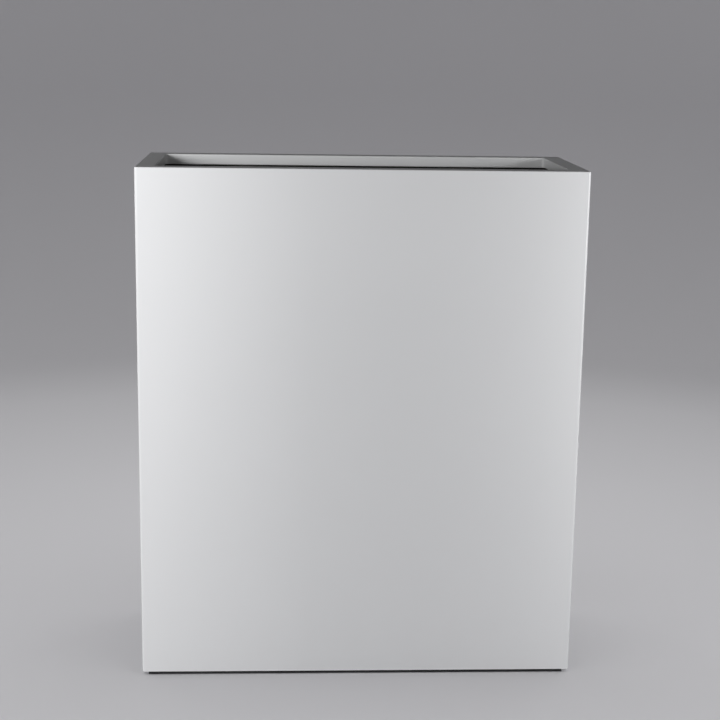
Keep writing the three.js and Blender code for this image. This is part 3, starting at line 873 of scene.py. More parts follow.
@grouped("Moulded Shell", "Geometry", **SHELL_INPUTS)
def shell_tree(graph, given):
    """Lofts a ring round the planter through each station of the wall's rounded section."""
    corners = shell_section(given)
    index = Formula(graph, graph.out("GeometryNodeInputIndex"))
    where = graph.out("GeometryNodeInputPosition")

    # The section is a closed curve, with its inset along X and its height along Y.
    places = [graph.point(inset, height) for inset, height, *_ in corners]
    traits = [graph.point(rounding, reach, inside) for _, _, rounding, reach, inside in corners]
    line = graph.out("GeometryNodeMeshLine", Count=len(corners))
    drawn = graph.out("GeometryNodeSetPosition", Geometry=line, Position=switched(graph, index, places))
    marked = stored(graph, drawn, "trait", switched(graph, index, traits), "FLOAT_VECTOR")
    curve = graph.out("GeometryNodeMeshToCurve", Mesh=marked)
    closed = graph.out("GeometryNodeSetSplineCyclic", Geometry=curve, Cyclic=True)
    rounding, reach, inside = graph.parts(recalled(graph, "trait", "FLOAT_VECTOR"))
    section = graph.out(
        "GeometryNodeFilletCurve",
        {"mode": "POLY"},
        Curve=closed,
        Count=given["Arc Steps"],
        Radius=rounding,
        Limit_Radius=True,
    )
    size = graph.add("GeometryNodeAttributeDomainSize", {"component": "CURVE"}, Geometry=section)
    stations = Formula(graph, size.outputs["Point Count"])

    # A grid has a column for each point of a ring and a row for each station, and joins up both ways.
    per_quarter = given["Arc Steps"] + 3
    ring = per_quarter * 4
    rows = stations + 1
    grid = graph.out("GeometryNodeMeshGrid", Vertices_X=ring + 1, Vertices_Y=rows)
    column = graph.math("FLOOR", (index + 0.5) / rows)
    station = graph.math("MODULO", index - column * rows, stations)
    point = graph.math("MODULO", column, ring)

    def at_station(value, kind="FLOAT"):
        """A value at this station of the section."""
        settings = {"data_type": kind, "domain": "POINT"}
        return graph.out(
            "GeometryNodeSampleIndex", settings, Geometry=section, Index=station, Value=value
        )

    inset, height, _ = graph.parts(at_station(where, "FLOAT_VECTOR"))
    radius = graph.math("MAXIMUM", Formula(graph, at_station(reach)) - inset, LEAST_RADIUS)

    # Each quarter of a ring is an arc, with a point on the straight before it and one after it.
    quarter = graph.math("FLOOR", (point + 0.5) / per_quarter)
    step = point - quarter * per_quarter - 1
    arc = graph.math("MAXIMUM", graph.math("MINIMUM", step, given["Arc Steps"]), 0.0)
    turn = (quarter + arc / given["Arc Steps"]) * QUARTER_TURN
    overrun = (step - arc) * SUPPORT
    towards = (quarter + 0.5) * QUARTER_TURN
    sign_x = graph.math("SIGN", graph.math("COSINE", towards))
    sign_y = graph.math("SIGN", graph.math("SINE", towards))
    cosine, sine = graph.math("COSINE", turn), graph.math("SINE", turn)
    x = sign_x * (given["Width"] / 2 - inset - radius) + radius * cosine - overrun * sine
    y = sign_y * (given["Depth"] / 2 - inset - radius) + radius * sine + overrun * cosine

    within = stored(graph, grid, "within", at_station(inside), "FLOAT")
    wrapped = graph.out("GeometryNodeSetPosition", Geometry=within, Position=graph.point(x, y, height))
    welded = graph.out("GeometryNodeMergeByDistance", Geometry=wrapped, Distance=WELD)
    smooth = graph.out("GeometryNodeSetShadeSmooth", Geometry=welded, Shade_Smooth=True)
    return graph.out(
        "GeometryNodeSetMaterial",
        Geometry=graph.realized(smooth, given["Gelcoat"]),
        Selection=Formula(graph, recalled(graph, "within", "FLOAT")) > 0.6,
        Material=given["Flow Coat"],
    )


GRID = {
    "Geometry": "geometry",
    "Columns": "int",
    "Rows": "int",
    "Column Pitch": "float",
    "Row Pitch": "float",
    "Centre": "vector",
    "Material": "material",
}


def grid_of(graph, given, instance):
    """Copies of some geometry at the points of a level grid about a centre."""
    columns, rows = given["Columns"], given["Rows"]
    grid = graph.out(
        "GeometryNodeMeshGrid",
        Size_X=(columns - 1) * given["Column Pitch"],
        Size_Y=(rows - 1) * given["Row Pitch"],
        Vertices_X=graph.math("MAXIMUM", columns, 2),
        Vertices_Y=graph.math("MAXIMUM", rows, 2),
    )
    placed = graph.out("GeometryNodeTransform", Geometry=grid, Translation=given["Centre"])
    points = graph.out("GeometryNodeMeshToPoints", Mesh=placed)
    single = graph.out("GeometryNodeMergeByDistance", Geometry=points, Distance=WELD)
    return graph.add("GeometryNodeInstanceOnPoints", Points=single, Instance=instance)


@grouped("Drilled Board", "Geometry", **GRID, Drill="object")
def drilled_tree(graph, given):
    """Takes a grid of copies of a drill out of a board."""
    drill = graph.add("GeometryNodeObjectInfo", Object=given["Drill"]).outputs["Geometry"]
    drills = grid_of(graph, given, drill).outputs[0]
    cutters = graph.out("GeometryNodeRealizeInstances", Geometry=drills)
    taken_out = {"operation": "DIFFERENCE", "solver": "EXACT"}
    cut = graph.out("GeometryNodeMeshBoolean", taken_out, Mesh_1=given["Geometry"], Mesh_2=cutters)
    return graph.realized(cut, given["Material"])


@grouped("Screw Rows", "Geometry", **GRID, Seed="int")
def screws_tree(graph, given):
    """Sets copies of a screw in a grid, each with its driver recess turned another way."""
    number = {"data_type": "FLOAT"}
    spin = graph.add("FunctionNodeRandomValue", number, Max=math.tau, Seed=given["Seed"])
    screws = grid_of(graph, given, given["Geometry"])
    graph.feed(screws.inputs["Rotation"], graph.point(z=spin.outputs["Value"]))
    return graph.realized(screws.outputs[0], given["Material"])


BEAD_SIDES = 14
BEAD_WAVES = 38.0


@grouped(
    "Paste Bead",
    "Geometry",
    Geometry="geometry",
    Radius="float",
    Wobble="float",
    Step="float",
    Seed="float",
    Material="material",
)
def bead_tree(graph, given):
    """Runs a bead of paste along every edge path, with a radius that wanders."""
    path = graph.out("GeometryNodeMeshToCurve", Mesh=given["Geometry"])
    even = graph.out("GeometryNodeResampleCurve", {"mode": "LENGTH"}, Curve=path, Length=given["Step"])
    here = graph.out("GeometryNodeInputPosition")
    four = {"noise_dimensions": "4D"}
    noise = graph.out("ShaderNodeTexNoise", four, Vector=here, W=given["Seed"], Scale=BEAD_WAVES)
    radius = given["Radius"] * (1 + given["Wobble"] * (Formula(graph, noise) - 0.5) * 2)
    section = graph.out("GeometryNodeCurvePrimitiveCircle", Resolution=BEAD_SIDES, Radius=1.0)
    bead = graph.out(
        "GeometryNodeCurveToMesh", Curve=even, Profile_Curve=section, Scale=radius, Fill_Caps=True
    )
    smooth = graph.out("GeometryNodeSetShadeSmooth", Geometry=bead, Shade_Smooth=True)
    return graph.realized(smooth, given["Material"])


# --- Operators ---

FIT = 0.0003
BEYOND = 0.002
EDGE = 0.0004
MOULDED_EDGE = 0.0008
BROAD_EDGE = 0.0012
FINE_EDGE = 0.0002


class PieceOperator:
    """What every operator here shares."""

    bl_options = {"REGISTER", "UNDO"}

    def execute(self, context):
        self.make(context.scene.planter)
        return {"FINISHED"}


def drill_shape(radius, low, high, bevel, steps):
    """A cutter through a board from low to high that bevels both edges of its hole."""
    wide = radius + bevel
    profile = [
        (0, low - BEYOND),
        (wide + BEYOND, low - BEYOND),
        (wide, low),
        (radius, low + bevel),
        (radius, high - bevel),
        (wide, high),
        (wide + BEYOND, high + BEYOND),
        (0, high + BEYOND),
    ]
    return turned(profile, steps)


def drilled(board, cutter, finish, columns=1, rows=1, pitch=0.0, row_pitch=0.0, y=0.0):
    """Takes a grid of copies of a cutter out of a board."""
    drill = solid(f"{board.name}_drill", cutter)
    values = {
        "Drill": drill,
        "Columns": columns,
        "Rows": rows,
        "Column Pitch": pitch,
        "Row Pitch": row_pitch,
        "Centre": (0, y, 0),
        "Material": finish,
    }
    grown(board, drilled_tree(), values)
    bpy.data.objects.remove(drill)


def barrel_hole(sizes):
    """The radius of a hole that a drain's barrel goes through."""
    return sizes.bore_radius + sizes.barrel_wall + FIT


def turned_round(corners, arc_steps, sizes):
    """(vertices, faces) of (radius, z, rounding) corners turned about Z."""
    return turned([tuple(point) for point in rounded(corners, arc_steps)], sizes.turn_steps)


def bead_along(name, paths, sizes, seed):
    """A bead of paste along each (points, is closed) path, all in one piece."""
    vertices, edges = [], []
    for path, looped in paths:
        start = len(vertices)
        vertices.extend(path)
        edges.extend((start + index, start + index + 1) for index in range(len(path) - 1))
        if looped:
            edges.append((len(vertices) - 1, start))
    mesh = bpy.data.meshes.new(name)
    mesh.from_pydata(vertices, edges, [])
    values = {
        "Radius": sizes.bead_radius,
        "Wobble": sizes.bead_wobble,
        "Step": sizes.bead_radius,
        "Seed": seed,
        "Material": bonding_paste(),
    }
    bead = grown(new_object(name, mesh), bead_tree(), values)
    cleaned(bead.data)
    return bead


class PLANTER_OT_shell(PieceOperator, bpy.types.Operator):
    """Make the moulded shell, white outside and dark inside"""

    bl_idname = "planter.shell"
    bl_label = "Moulded Shell"

    def make(self, settings):
        names = PlanterShellSizes.__annotations__
        values = {label(name): getattr(settings.shell, name) for name in names}
        values.update({"Gelcoat": white_gelcoat(), "Flow Coat": dark_flow_coat()})
        shell = new_object("moulded_shell", bpy.data.meshes.new("moulded_shell"))
        grown(shell, shell_tree(), values)
        seat(shell, BODY, ["planter_shell"])


class PLANTER_OT_floor(PieceOperator, bpy.types.Operator):
    """Make the floor panel and the paste round it"""

    bl_idname = "planter.floor"
    bl_label = "Floor Panel"

    def make(self, settings):
        sizes, drains, paste = settings.shell, settings.fittings, settings.stiffeners
        low, high = FLOOR_LOW, FLOOR_HIGH
        edge, corner = sizes.inner_fillet, sizes.inner_corner_radius
        levels = [
            (rectangle(high.x - inset, high.y - inset, corner), z)
            for inset, z in ((edge, low.z), (0, low.z + edge), (0, high.z))
        ]
        panel = solid("floor_board", stacked(levels))
        hole = drill_shape(barrel_hole(drains), low.z, high.z, EDGE, drains.turn_steps)
        spacing = 2 * middle("drain_body_right").x
        drilled(panel, hole, dark_flow_coat(), columns=2, pitch=spacing)
        cleaned(panel.data)
        seat(panel, BODY, ["floor_panel"])

        sink = paste.bead_sink
        inset = sizes.wall + sink
        outline = rectangle(sizes.width / 2 - inset, sizes.depth / 2 - inset, corner - sink)
        path = [(*point, high.z + sink) for point in outline]
        bead = bead_along("floor_paste_bead", [(path, True)], paste, 1.0)
        seat(bead, BODY, [])


class PLANTER_OT_battens(PieceOperator, bpy.types.Operator):
    """Finish the plywood battens inside the rim"""

    bl_idname = "planter.battens"
    bl_label = "Rim Battens"

    def make(self, settings):
        for side in SIDES:
            node = frame["nodes"][f"rim_core_{side}"]
            node.data.materials.clear()
            node.data.materials.append(sealed_plywood())


# The edge of a rib's brim, left or right, that each wave moves.
WAVE_EDGES = (0, 0, 0, 0, 1, 1, 1, 1)


class PLANTER_OT_ribs(PieceOperator, bpy.types.Operator):
    """Make the top-hat ribs, laid by hand on the long walls"""

    bl_idname = "planter.ribs"
    bl_label = "Wall Ribs"

    def make(self, settings):
        for side in LONG_SIDES:
            for end in ENDS:
                node = f"wall_rib_{side}_{end}"
                rings = self.rings(settings.stiffeners, node, side == "front")
                rib = solid(f"top_hat_{node}", loft(rings), hand_laid_laminate())
                seat(rib, BODY, [node])

    def rings(self, sizes, node, in_front):
        """Rings up a rib, whose brim wanders in and out a little, as laid by hand."""
        low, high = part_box(node)
        x, wall, facing = middle(node).x, (low if in_front else high).y, 1 if in_front else -1
        rng = random.Random(node)
        waves = [(rng.uniform(25, 130), rng.uniform(0, math.tau), edge) for edge in WAVE_EDGES]
        count = max(2, round((high.z - low.z) / sizes.ring_pitch))
        half_crest, half_base = sizes.rib_crest / 2, sizes.rib_base / 2
        height, brim, radius = RIB_HIGH.y - RIB_LOW.y, sizes.brim_thickness, sizes.rib_radius
        rings = []
        for index in range(count + 1):
            z = low.z + (high.z - low.z) * index / count
            wander = [0.0, 0.0]
            for rate, phase, edge in waves:
                wander[edge] += math.sin(rate * z + phase) / 4
            left, right = (half_base + sizes.rib_brim - sizes.hand_lay * (1 + way) for way in wander)
            corners = [
                (-left, 0, 0),
                (right, 0, 0),
                (right, brim, brim * 0.8),
                (half_base, brim, radius),
                (half_crest, height, radius),
                (-half_crest, height, radius),
                (-half_base, brim, radius),
                (-left, brim, brim * 0.8),
            ]
            rings.append([(x + u, wall + facing * v, z) for u, v in rounded(corners)])
        return rings


# For each side: which corner of its ledge's box is on the wall, the way inwards and the way along.
LEDGE_WAYS = {
    "front": (0, Vector((0, 1, 0)), Vector((1, 0, 0))),
    "back": (1, Vector((0, -1, 0)), Vector((1, 0, 0))),
    "left": (0, Vector((1, 0, 0)), Vector((0, 1, 0))),
    "right": (1, Vector((-1, 0, 0)), Vector((0, 1, 0))),
}
BEAD_END = 0.004


class PLANTER_OT_ledges(PieceOperator, bpy.types.Operator):
    """Make the pultruded ledges and the paste that bonds them"""

    bl_idname = "planter.ledges"
    bl_label = "Shelf Ledges"

    def make(self, settings):
        sizes = settings.stiffeners
        leg, toe, sink = sizes.ledge_thickness, sizes.ledge_toe, sizes.bead_sink
        paths = []
        for side in SIDES:
            node = f"shelf_ledge_{side}"
            low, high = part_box(node)
            corner, inwards, along = LEDGE_WAYS[side]
            centre, across = middle(node), Vector(abs(way) for way in inwards)
            wall = centre + across * (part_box(node)[corner] - centre).dot(across)
            wall.z = 0
            reach = abs((high - low).dot(inwards))
            half = abs((high - low).dot(along)) / 2
            corners = [
                (0, low.z, EDGE),
                (leg, low.z, toe),
                (leg, high.z - leg, sizes.ledge_root),
                (reach, high.z - leg, toe),
                (reach, high.z, toe / 2),
                (0, high.z, EDGE),
            ]
            rings = [
                [wall + along * shift + inwards * u + Vector((0, 0, z)) for u, z in rounded(corners)]
                for shift in (-half, -half + EDGE, half - EDGE, half)
            ]
            ledge = solid(f"pultruded_{node}", loft(rings), pultruded_angle())
            seat(ledge, BODY, [node])
            for height in (high.z + sink / 2, low.z - sink / 2):
                root = wall + inwards * sink + Vector((0, 0, height))
                run = along * (half - BEAD_END)
                paths.append(([tuple(root - run), tuple(root + run)], False))
        seat(bead_along("ledge_paste_beads", paths, sizes, 5.0), BODY, [])


class PLANTER_OT_shelf(PieceOperator, bpy.types.Operator):
    """Make the lift-out planting shelf with its drainage holes and finger slots"""

    bl_idname = "planter.shelf"
    bl_label = "Planting Shelf"

    def make(self, settings):
        sizes, finish = settings.shelf, recycled_board()
        low, high, bevel = SHELF_LOW, SHELF_HIGH, sizes.chamfer
        levels = [
            (rectangle(high.x - inset, high.y - inset, sizes.corner_radius - inset, 10), z)
            for inset, z in ((bevel, low.z), (0, low.z + bevel), (0, high.z - bevel), (bevel, high.z))
        ]
        board = solid("perforated_board", stacked(levels))
        hole = drill_shape(sizes.hole_radius, low.z, high.z, bevel / 2, 32)
        drilled(board, hole, finish, sizes.columns, sizes.rows, sizes.hole_pitch, sizes.hole_pitch)
        slot = self.slot_cutter(sizes, low.z, high.z)
        drilled(board, slot, finish, columns=2, pitch=2 * sizes.slot_place)
        cleaned(board.data)
        seat(board, "shelf", ["planting_shelf"])

    def slot_cutter(self, sizes, low, high):
        """A cutter through the board that bevels both edges of a finger slot."""
        bevel = sizes.chamfer
        levels = []
        for grow, z in (
            (bevel + BEYOND, low - BEYOND),
            (bevel, low),
            (0, low + bevel),
            (0, high - bevel),
            (bevel, high),
            (bevel + BEYOND, high + BEYOND),
        ):
            half_x = sizes.slot_width / 2 + grow
            half_y = sizes.slot_length / 2 + grow
            levels.append((rectangle(half_x, half_y, half_x * 0.999, 14), z))
        return stacked(levels)


THREAD_END = 0.0015
HEXAGON_CORNER = 0.0015
NUT_CROWN = 0.955
GASKET_BULGE = 0.45


class PLANTER_OT_drains(PieceOperator, bpy.types.Operator):
    """Make the drain bodies, gaskets and nuts"""

    bl_idname = "planter.drains"
    bl_label = "Drains"

    def make(self, settings):
        sizes = settings.fittings
        for end in ENDS:
            node = f"drain_body_{end}"
            body = solid(f"threaded_drain_{end}", moved(self.drain(sizes), node), moulded_fitting())
            seat(body, BODY, [node])
            ring = solid(f"rubber_gasket_{end}", moved(self.gasket(sizes), node), black_rubber())
            seat(ring, BODY, [f"drain_gasket_{end}"])
            nut = solid(f"hexagon_nut_{end}", moved(self.hexagon(), node))
            hole = drill_shape(barrel_hole(sizes), NUT_LOW.z, NUT_HIGH.z, MOULDED_EDGE, 48)
            drilled(nut, moved(hole, node), moulded_fitting())
            cleaned(nut.data)
            seat(nut, BODY, [f"drain_nut_{end}"])

    def drain(self, sizes):
        """A flanged barrel with a thread below its flange."""
        bore, outer = sizes.bore_radius, sizes.bore_radius + sizes.barrel_wall
        flange = (DRAIN_HIGH.x - DRAIN_LOW.x) / 2
        foot, head = DRAIN_LOW.z, DRAIN_HIGH.z
        under = head - sizes.flange_thickness
        root, pitch = outer - sizes.thread_depth, sizes.thread_pitch
        corners = [(bore, foot, 0.0006), (root, foot, 0.0006)]
        for index in range(int((under - foot - 2 * THREAD_END) / pitch)):
            z = foot + THREAD_END + index * pitch
            corners.append((root, z, 0))
            corners += [(outer, z + pitch * along, FINE_EDGE) for along in (0.4, 0.6)]
        corners += [
            (root, under - 0.001, 0),
            (outer, under, EDGE),
            (flange, under, EDGE),
            (flange, head - BROAD_EDGE, MOULDED_EDGE),
            (flange - 2 * BROAD_EDGE, head, MOULDED_EDGE),
            (bore, head, BROAD_EDGE),
        ]
        return turned_round(corners, 4, sizes)

    def gasket(self, sizes):
        """A flat ring whose edge bulges a little under the flange."""
        inner, outer = barrel_hole(sizes), (GASKET_HIGH.x - GASKET_LOW.x) / 2
        low, high = GASKET_LOW.z, GASKET_HIGH.z
        bulge = (high - low) * GASKET_BULGE
        corners = [(inner, low, FINE_EDGE), (outer, low, bulge), (outer, high, bulge)]
        return turned_round([*corners, (inner, high, FINE_EDGE)], 5, sizes)

    def hexagon(self):
        """A hexagon nut with rounded corners, before its bore is made."""
        low, high = NUT_LOW.z, NUT_HIGH.z
        corner = (NUT_HIGH.x - NUT_LOW.x) / 2 / math.cos(math.pi / 6)
        turns = [math.pi / 3 * index for index in range(6)]
        corners = [(corner * math.sin(turn), corner * math.cos(turn), HEXAGON_CORNER) for turn in turns]
        outline = rounded(corners, 5)
        crown = [point * NUT_CROWN for point in outline]
        flats = [(outline, low + BROAD_EDGE), (outline, high - BROAD_EDGE)]
        return stacked([(crown, low), *flats, (crown, high)])


PLUG_RIB = 0.00035
PLUG_RIB_HALF = 0.0012


class PLANTER_OT_plugs(PieceOperator, bpy.types.Operator):
    """Make the rubber drain plugs"""

    bl_idname = "planter.plugs"
    bl_label = "Drain Plugs"

    def make(self, settings):
        for end in ENDS:
            node = f"drain_plug_{end}"
            made = moved(self.plug(settings.fittings), node)
            plug = solid(f"rubber_plug_{end}", made, black_rubber())
            seat(plug, f"plug_{end}", [node])

    def plug(self, sizes):
        """A tapered stopper with two sealing ribs, a flat head and a pull knob."""
        tip, crown = PLUG_LOW.z, PLUG_HIGH.z
        under = tip + sizes.plug_length
        head = (PLUG_HIGH.x - PLUG_LOW.x) / 2
        wide = sizes.bore_radius - FIT
        narrow = wide - sizes.plug_taper
        corners = [(0, tip, 0), (narrow - PLUG_RIB, tip, 0.001)]
        for up in (0.3, 0.62):
            z = tip + sizes.plug_length * up
            here = narrow + (wide - narrow) * up
            corners += [
                (here - PLUG_RIB, z - PLUG_RIB_HALF, EDGE),
                (here, z, 0.0006),
                (here - PLUG_RIB, z + PLUG_RIB_HALF, EDGE),
            ]
        top = under + sizes.plug_head
        neck = crown - sizes.knob_height
        corners += [
            (wide - PLUG_RIB, under - EDGE, FIT),
            (head, under, MOULDED_EDGE),
            (head, top, 0.0014),
            (sizes.knob_neck, top, 0.0016),
            (sizes.knob_neck, neck, 0.0010),
            (sizes.knob_radius, neck, 0.0026),
            (sizes.knob_radius, crown, 0.0026),
            (0, crown, 0),
        ]
        return turned_round(corners, 5, sizes)


def screw_spacing(sizes):
    """The distance between a runner's screws."""
    span = middle("runner_screw_front_4").x - middle("runner_screw_front_1").x
    return abs(span / (sizes.screws - 1))


RUNNER_END = 0.0010
DRILL_BEYOND = 0.001


class PLANTER_OT_runners(PieceOperator, bpy.types.Operator):
    """Make the grooved rubber runners under the planter"""

    bl_idname = "planter.runners"
    bl_label = "Base Runners"

    def make(self, settings):
        sizes = settings.fittings
        head, shank = sizes.screw_head + FIT, sizes.screw_shank + FIT
        recess = sizes.screw_recess
        for side in LONG_SIDES:
            node = f"base_runner_{side}"
            low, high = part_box(node)
            runner = solid(f"grooved_{node}", loft(self.rings(sizes, low, high)))
            hole = [
                (0, -DRILL_BEYOND),
                (head, -DRILL_BEYOND),
                (head, recess + FIT),
                (shank, recess + sizes.screw_seat + FIT),
                (shank, high.z + DRILL_BEYOND),
                (0, high.z + DRILL_BEYOND),
            ]
            pitch, y = screw_spacing(sizes), middle(node).y
            drilled(runner, turned(hole, 32), black_rubber(), columns=sizes.screws, pitch=pitch, y=y)
            cleaned(runner.data)
            seat(runner, BODY, [node])

    def rings(self, sizes, low, high):
        """Rings along a runner, grooved underneath, with slightly rounded ends."""
        width = high.y - low.y
        corners = [(width, high.z), (0, high.z), (0, low.z)]
        corners = [(*corner, MOULDED_EDGE) for corner in corners]
        groove = width / (sizes.grooves * 2 + 1)
        for index in range(sizes.grooves):
            start = groove * (index * 2 + 1)
            for along, share in ((0.2, 0), (0.4, 1), (0.6, 1), (0.8, 0)):
                corners.append((start + groove * along, low.z + sizes.groove_depth * share, 0))
        outline = rounded([*corners, (width, low.z, MOULDED_EDGE)], 4)
        rings = []
        for x, shrink in (
            (low.x, RUNNER_END),
            (low.x + RUNNER_END * 0.4, RUNNER_END * 0.3),
            (low.x + RUNNER_END, 0),
            (high.x - RUNNER_END, 0),
            (high.x - RUNNER_END * 0.4, RUNNER_END * 0.3),
            (high.x, RUNNER_END),
        ):
            inwards = 1 - 2 * shrink / width
            rings.append([(x, low.y + width / 2 + (y - width / 2) * inwards, z) for y, z in outline])
        return rings


class PLANTER_OT_screws(PieceOperator, bpy.types.Operator):
    """Make the countersunk screws that hold the runners"""

    bl_idname = "planter.screws"
    bl_label = "Runner Screws"

    def make(self, settings):
        sizes = settings.fittings
        places = range(1, sizes.screws + 1)
        nodes = [f"runner_screw_{side}_{index}" for side in LONG_SIDES for index in places]
        screw = solid("countersunk_screws", self.screw(sizes))
        drilled(screw, self.recess(sizes), stainless_screw())
        cleaned(screw.data)
        values = {
            "Columns": sizes.screws,
            "Rows": 2,
            "Column Pitch": screw_spacing(sizes),
            "Row Pitch": 2 * abs(middle("runner_screw_front_1").y),
            "Centre": (0, 0, 0),
            "Seed": 4,
            "Material": stainless_screw(),
        }
        grown(screw, screws_tree(), values)
        seat(screw, BODY, nodes)

    def screw(self, sizes):
        """A screw that points up, with its head below, and a thread on its shank."""
        face, shank, pitch = sizes.screw_recess, sizes.screw_shank, sizes.screw_pitch
        seat_height = face + sizes.screw_seat
        tip = SCREW_HIGH.z
        root = shank * 0.72
        profile = [(0, face), (sizes.screw_head * 0.94, face), (sizes.screw_head, face + FINE_EDGE)]
        profile += [(shank, seat_height), (shank, seat_height + 0.003)]
        z = seat_height + 0.0034
        while z < tip - 0.0035:
            profile += [(root, z), (shank, z + pitch * 0.45), (shank, z + pitch * 0.55)]
            z += pitch
        return turned([*profile, (root, tip - 0.003), (0, tip)], 28)

    def recess(self, sizes):
        """A tapered cross for the driver."""
        levels = []
        for arm, half_wide, z in (
            (0.0024, 0.00058, sizes.screw_recess - 0.001),
            (0.0012, 0.00040, sizes.screw_recess + sizes.screw_seat * 0.75),
        ):
            ends = (half_wide, -half_wide), (arm, -half_wide), (arm, half_wide)
            corners = [Vector(corner) for corner in ends]
            turns = [Matrix.Rotation(quarter * QUARTER_TURN, 2) for quarter in range(4)]
            levels.append(([turn @ corner for turn in turns for corner in corners], z))
        return stacked(levels)


# Soft boxes: name, place, what each points at, size, and what its light is kept off or limited to.
OFF_STAGE = ("EXCLUDE", "stage_floor")
LAMPS = (
    ("key", (-1.38, -1.82, 1.14), (-2.05, -0.85, 1.14), (1.0, 0.5), OFF_STAGE),
    ("fill", (1.39, -0.91, 0.85), (1.89, 0.08, 0.85), (0.6, 0.72), OFF_STAGE),
    ("front", (0, -3.1, 0.45), (0, 0, 0.45), (3.0, 0.8), OFF_STAGE),
    ("back_left", (-1.35, 1.7, 0.46), (-0.45, 0, 0.5), (1.6, 0.84), OFF_STAGE),
    ("back_right", (1.35, 1.7, 0.46), (0.45, 0, 0.5), (1.6, 0.84), OFF_STAGE),
    ("mouth", (0, 0, 0.885), (0, 0, 0), (0.62, 0.18), OFF_STAGE),
    ("under", (0, 0, -1.2), (0, 0, 0), (0.9, 0.5), OFF_STAGE),
    ("stage", (0, 0, 3.2), (0, 0, 0), (4.0, 4.0), ("INCLUDE", "stage_floor")),
    ("top", (-0.7, -0.7, 2.4), (0, 0, 0.6), (1.2, 0.8), (*OFF_STAGE, "moulded_shell")),
)
COVE_STEPS = 12
STAGE_STEPS = 96


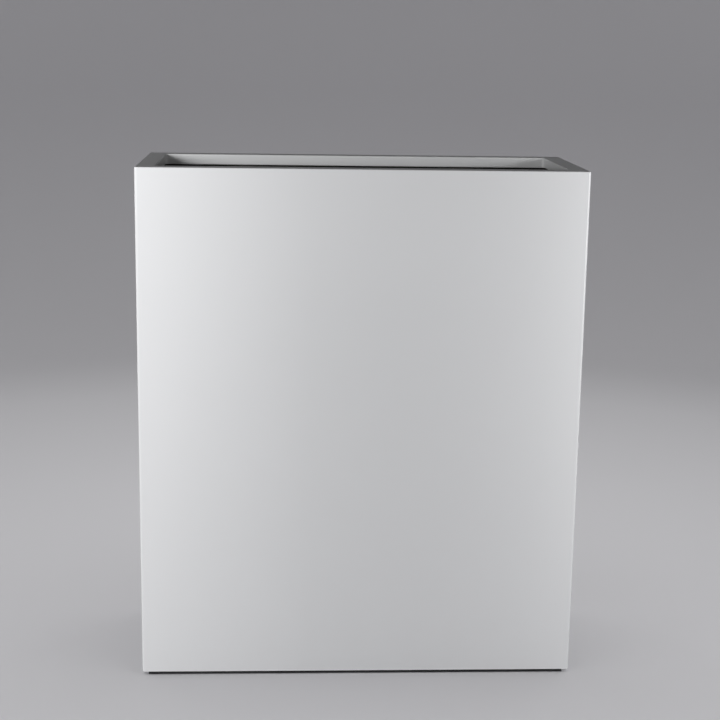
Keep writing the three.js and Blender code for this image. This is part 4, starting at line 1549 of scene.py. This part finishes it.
class PLANTER_OT_stage(PieceOperator, bpy.types.Operator):
    """Make the floor and backdrop, the lamps and the camera"""

    bl_idname = "planter.stage"
    bl_label = "Stage"

    def make(self, settings):
        studio = settings.studio
        self.backdrop(studio)
        self.camera(studio)
        for name, position, target, size, limits in LAMPS:
            lamp = self.soft_box(f"{name}_soft_box", position, target, size)
            lamp.data.energy = getattr(studio, f"{name}_power")
            self.limit(lamp, *limits)
        self.world(studio)
        bpy.context.scene.view_settings.view_transform = "Standard"

    def backdrop(self, studio):
        """A round floor that curves up into a backdrop on every side."""
        flat, cove = studio.floor_radius, studio.cove_radius
        profile = [(0, 0), (flat / 2, 0), (flat, 0)]
        for step in range(1, COVE_STEPS + 1):
            turn = QUARTER_TURN * step / COVE_STEPS
            profile.append((flat + cove * math.sin(turn), cove * (1 - math.cos(turn))))
        profile.append((flat + cove, studio.backdrop_height))
        levels = [(circle(radius, STAGE_STEPS), z) for radius, z in profile]
        vertices, faces = stacked(levels, capped=False)
        faces = [tuple(reversed(face)) for face in faces]
        solid("stage_floor", (vertices, faces), pale_stage(), closed=False)

    def camera(self, studio):
        """The camera at the photograph's viewing angle."""
        data = bpy.data.cameras.new("camera")
        data.lens = studio.lens
        data.sensor_width = 36.0
        camera = new_object("camera", data)
        yaw, pitch, roll = studio.yaw, studio.pitch, studio.roll
        forward = Vector(
            (math.sin(yaw) * math.cos(pitch), math.cos(yaw) * math.cos(pitch), -math.sin(pitch))
        )
        level = Vector((math.cos(yaw), -math.sin(yaw), 0))
        down = forward.cross(level)
        right = math.cos(roll) * level + math.sin(roll) * down
        upright = math.sin(roll) * level - math.cos(roll) * down
        turn = Matrix((right, upright, -forward)).transposed().to_4x4()
        camera.matrix_world = Matrix.Translation(studio.camera) @ turn
        bpy.context.scene.camera = camera

    def soft_box(self, name, position, target, size):
        """A rectangular lamp that points at a target."""
        data = bpy.data.lights.new(name, "AREA")
        data.shape = "RECTANGLE"
        data.size, data.size_y = size
        lamp = new_object(name, data)
        lamp.location = position
        lamp.rotation_euler = (Vector(target) - Vector(position)).to_track_quat("-Z", "Y").to_euler()
        lamp.visible_camera = False
        return lamp

    def limit(self, lamp, state, *receivers):
        """Keeps a lamp off some objects, or on them alone."""
        listed = bpy.data.collections.new(lamp.name)
        for index, receiver in enumerate(receivers):
            listed.objects.link(bpy.data.objects[receiver])
            listed.collection_objects[index].light_linking.link_state = state
        lamp.light_linking.receiver_collection = listed

    def world(self, studio):
        """Weak even light from the room, which looks as pale as the backdrop over its edge."""
        world = bpy.data.worlds.new("room")
        world.use_nodes = True
        graph = Graph(world.node_tree)
        seen = graph.add("ShaderNodeLightPath").outputs["Is Camera Ray"]
        light = graph.mix(seen, rgba([studio.room] * 3), rgba(colours().beyond))
        graph.feed(world.node_tree.nodes["Background"].inputs["Color"], light)
        bpy.context.scene.world = world


# --- The panel, and running it all ---


class VIEW3D_PT_planter(bpy.types.Panel):
    """Lists the planter's pieces and settings."""

    bl_label = "Tall Fiberglass Planter"
    bl_space_type = "VIEW_3D"
    bl_region_type = "UI"
    bl_category = "Planter"

    def draw(self, context):
        column = self.layout.column(align=True)
        for operator in OPERATORS:
            column.operator(operator.bl_idname)
        for part, sizes in zip(PlanterSettings.__annotations__, GROUPS):
            box = self.layout.box()
            for name in sizes.__annotations__:
                box.prop(getattr(context.scene.planter, part), name)


GROUPS = (
    PlanterShellSizes,
    PlanterShelfSizes,
    PlanterStiffenerSizes,
    PlanterFittingSizes,
    PlanterColours,
    PlanterStudio,
    PlanterSettings,
)
OPERATORS = (
    PLANTER_OT_shell,
    PLANTER_OT_floor,
    PLANTER_OT_battens,
    PLANTER_OT_ribs,
    PLANTER_OT_ledges,
    PLANTER_OT_shelf,
    PLANTER_OT_drains,
    PLANTER_OT_plugs,
    PLANTER_OT_runners,
    PLANTER_OT_screws,
    PLANTER_OT_stage,
)
CLASSES = (*GROUPS, *OPERATORS, VIEW3D_PT_planter)


def register():
    """Registers the classes and the scene's settings."""
    for made in CLASSES:
        bpy.utils.register_class(made)
    bpy.types.Scene.planter = bpy.props.PointerProperty(type=PlanterSettings)


def unregister():
    """Takes the classes and the settings away."""
    del bpy.types.Scene.planter
    for made in reversed(CLASSES):
        bpy.utils.unregister_class(made)


def main():
    """Makes every piece and the stage, and writes both sizes."""
    register()
    for operator in OPERATORS:
        group, name = operator.bl_idname.split(".")
        getattr(getattr(bpy.ops, group), name)()


if __name__ == "__main__":
    main()
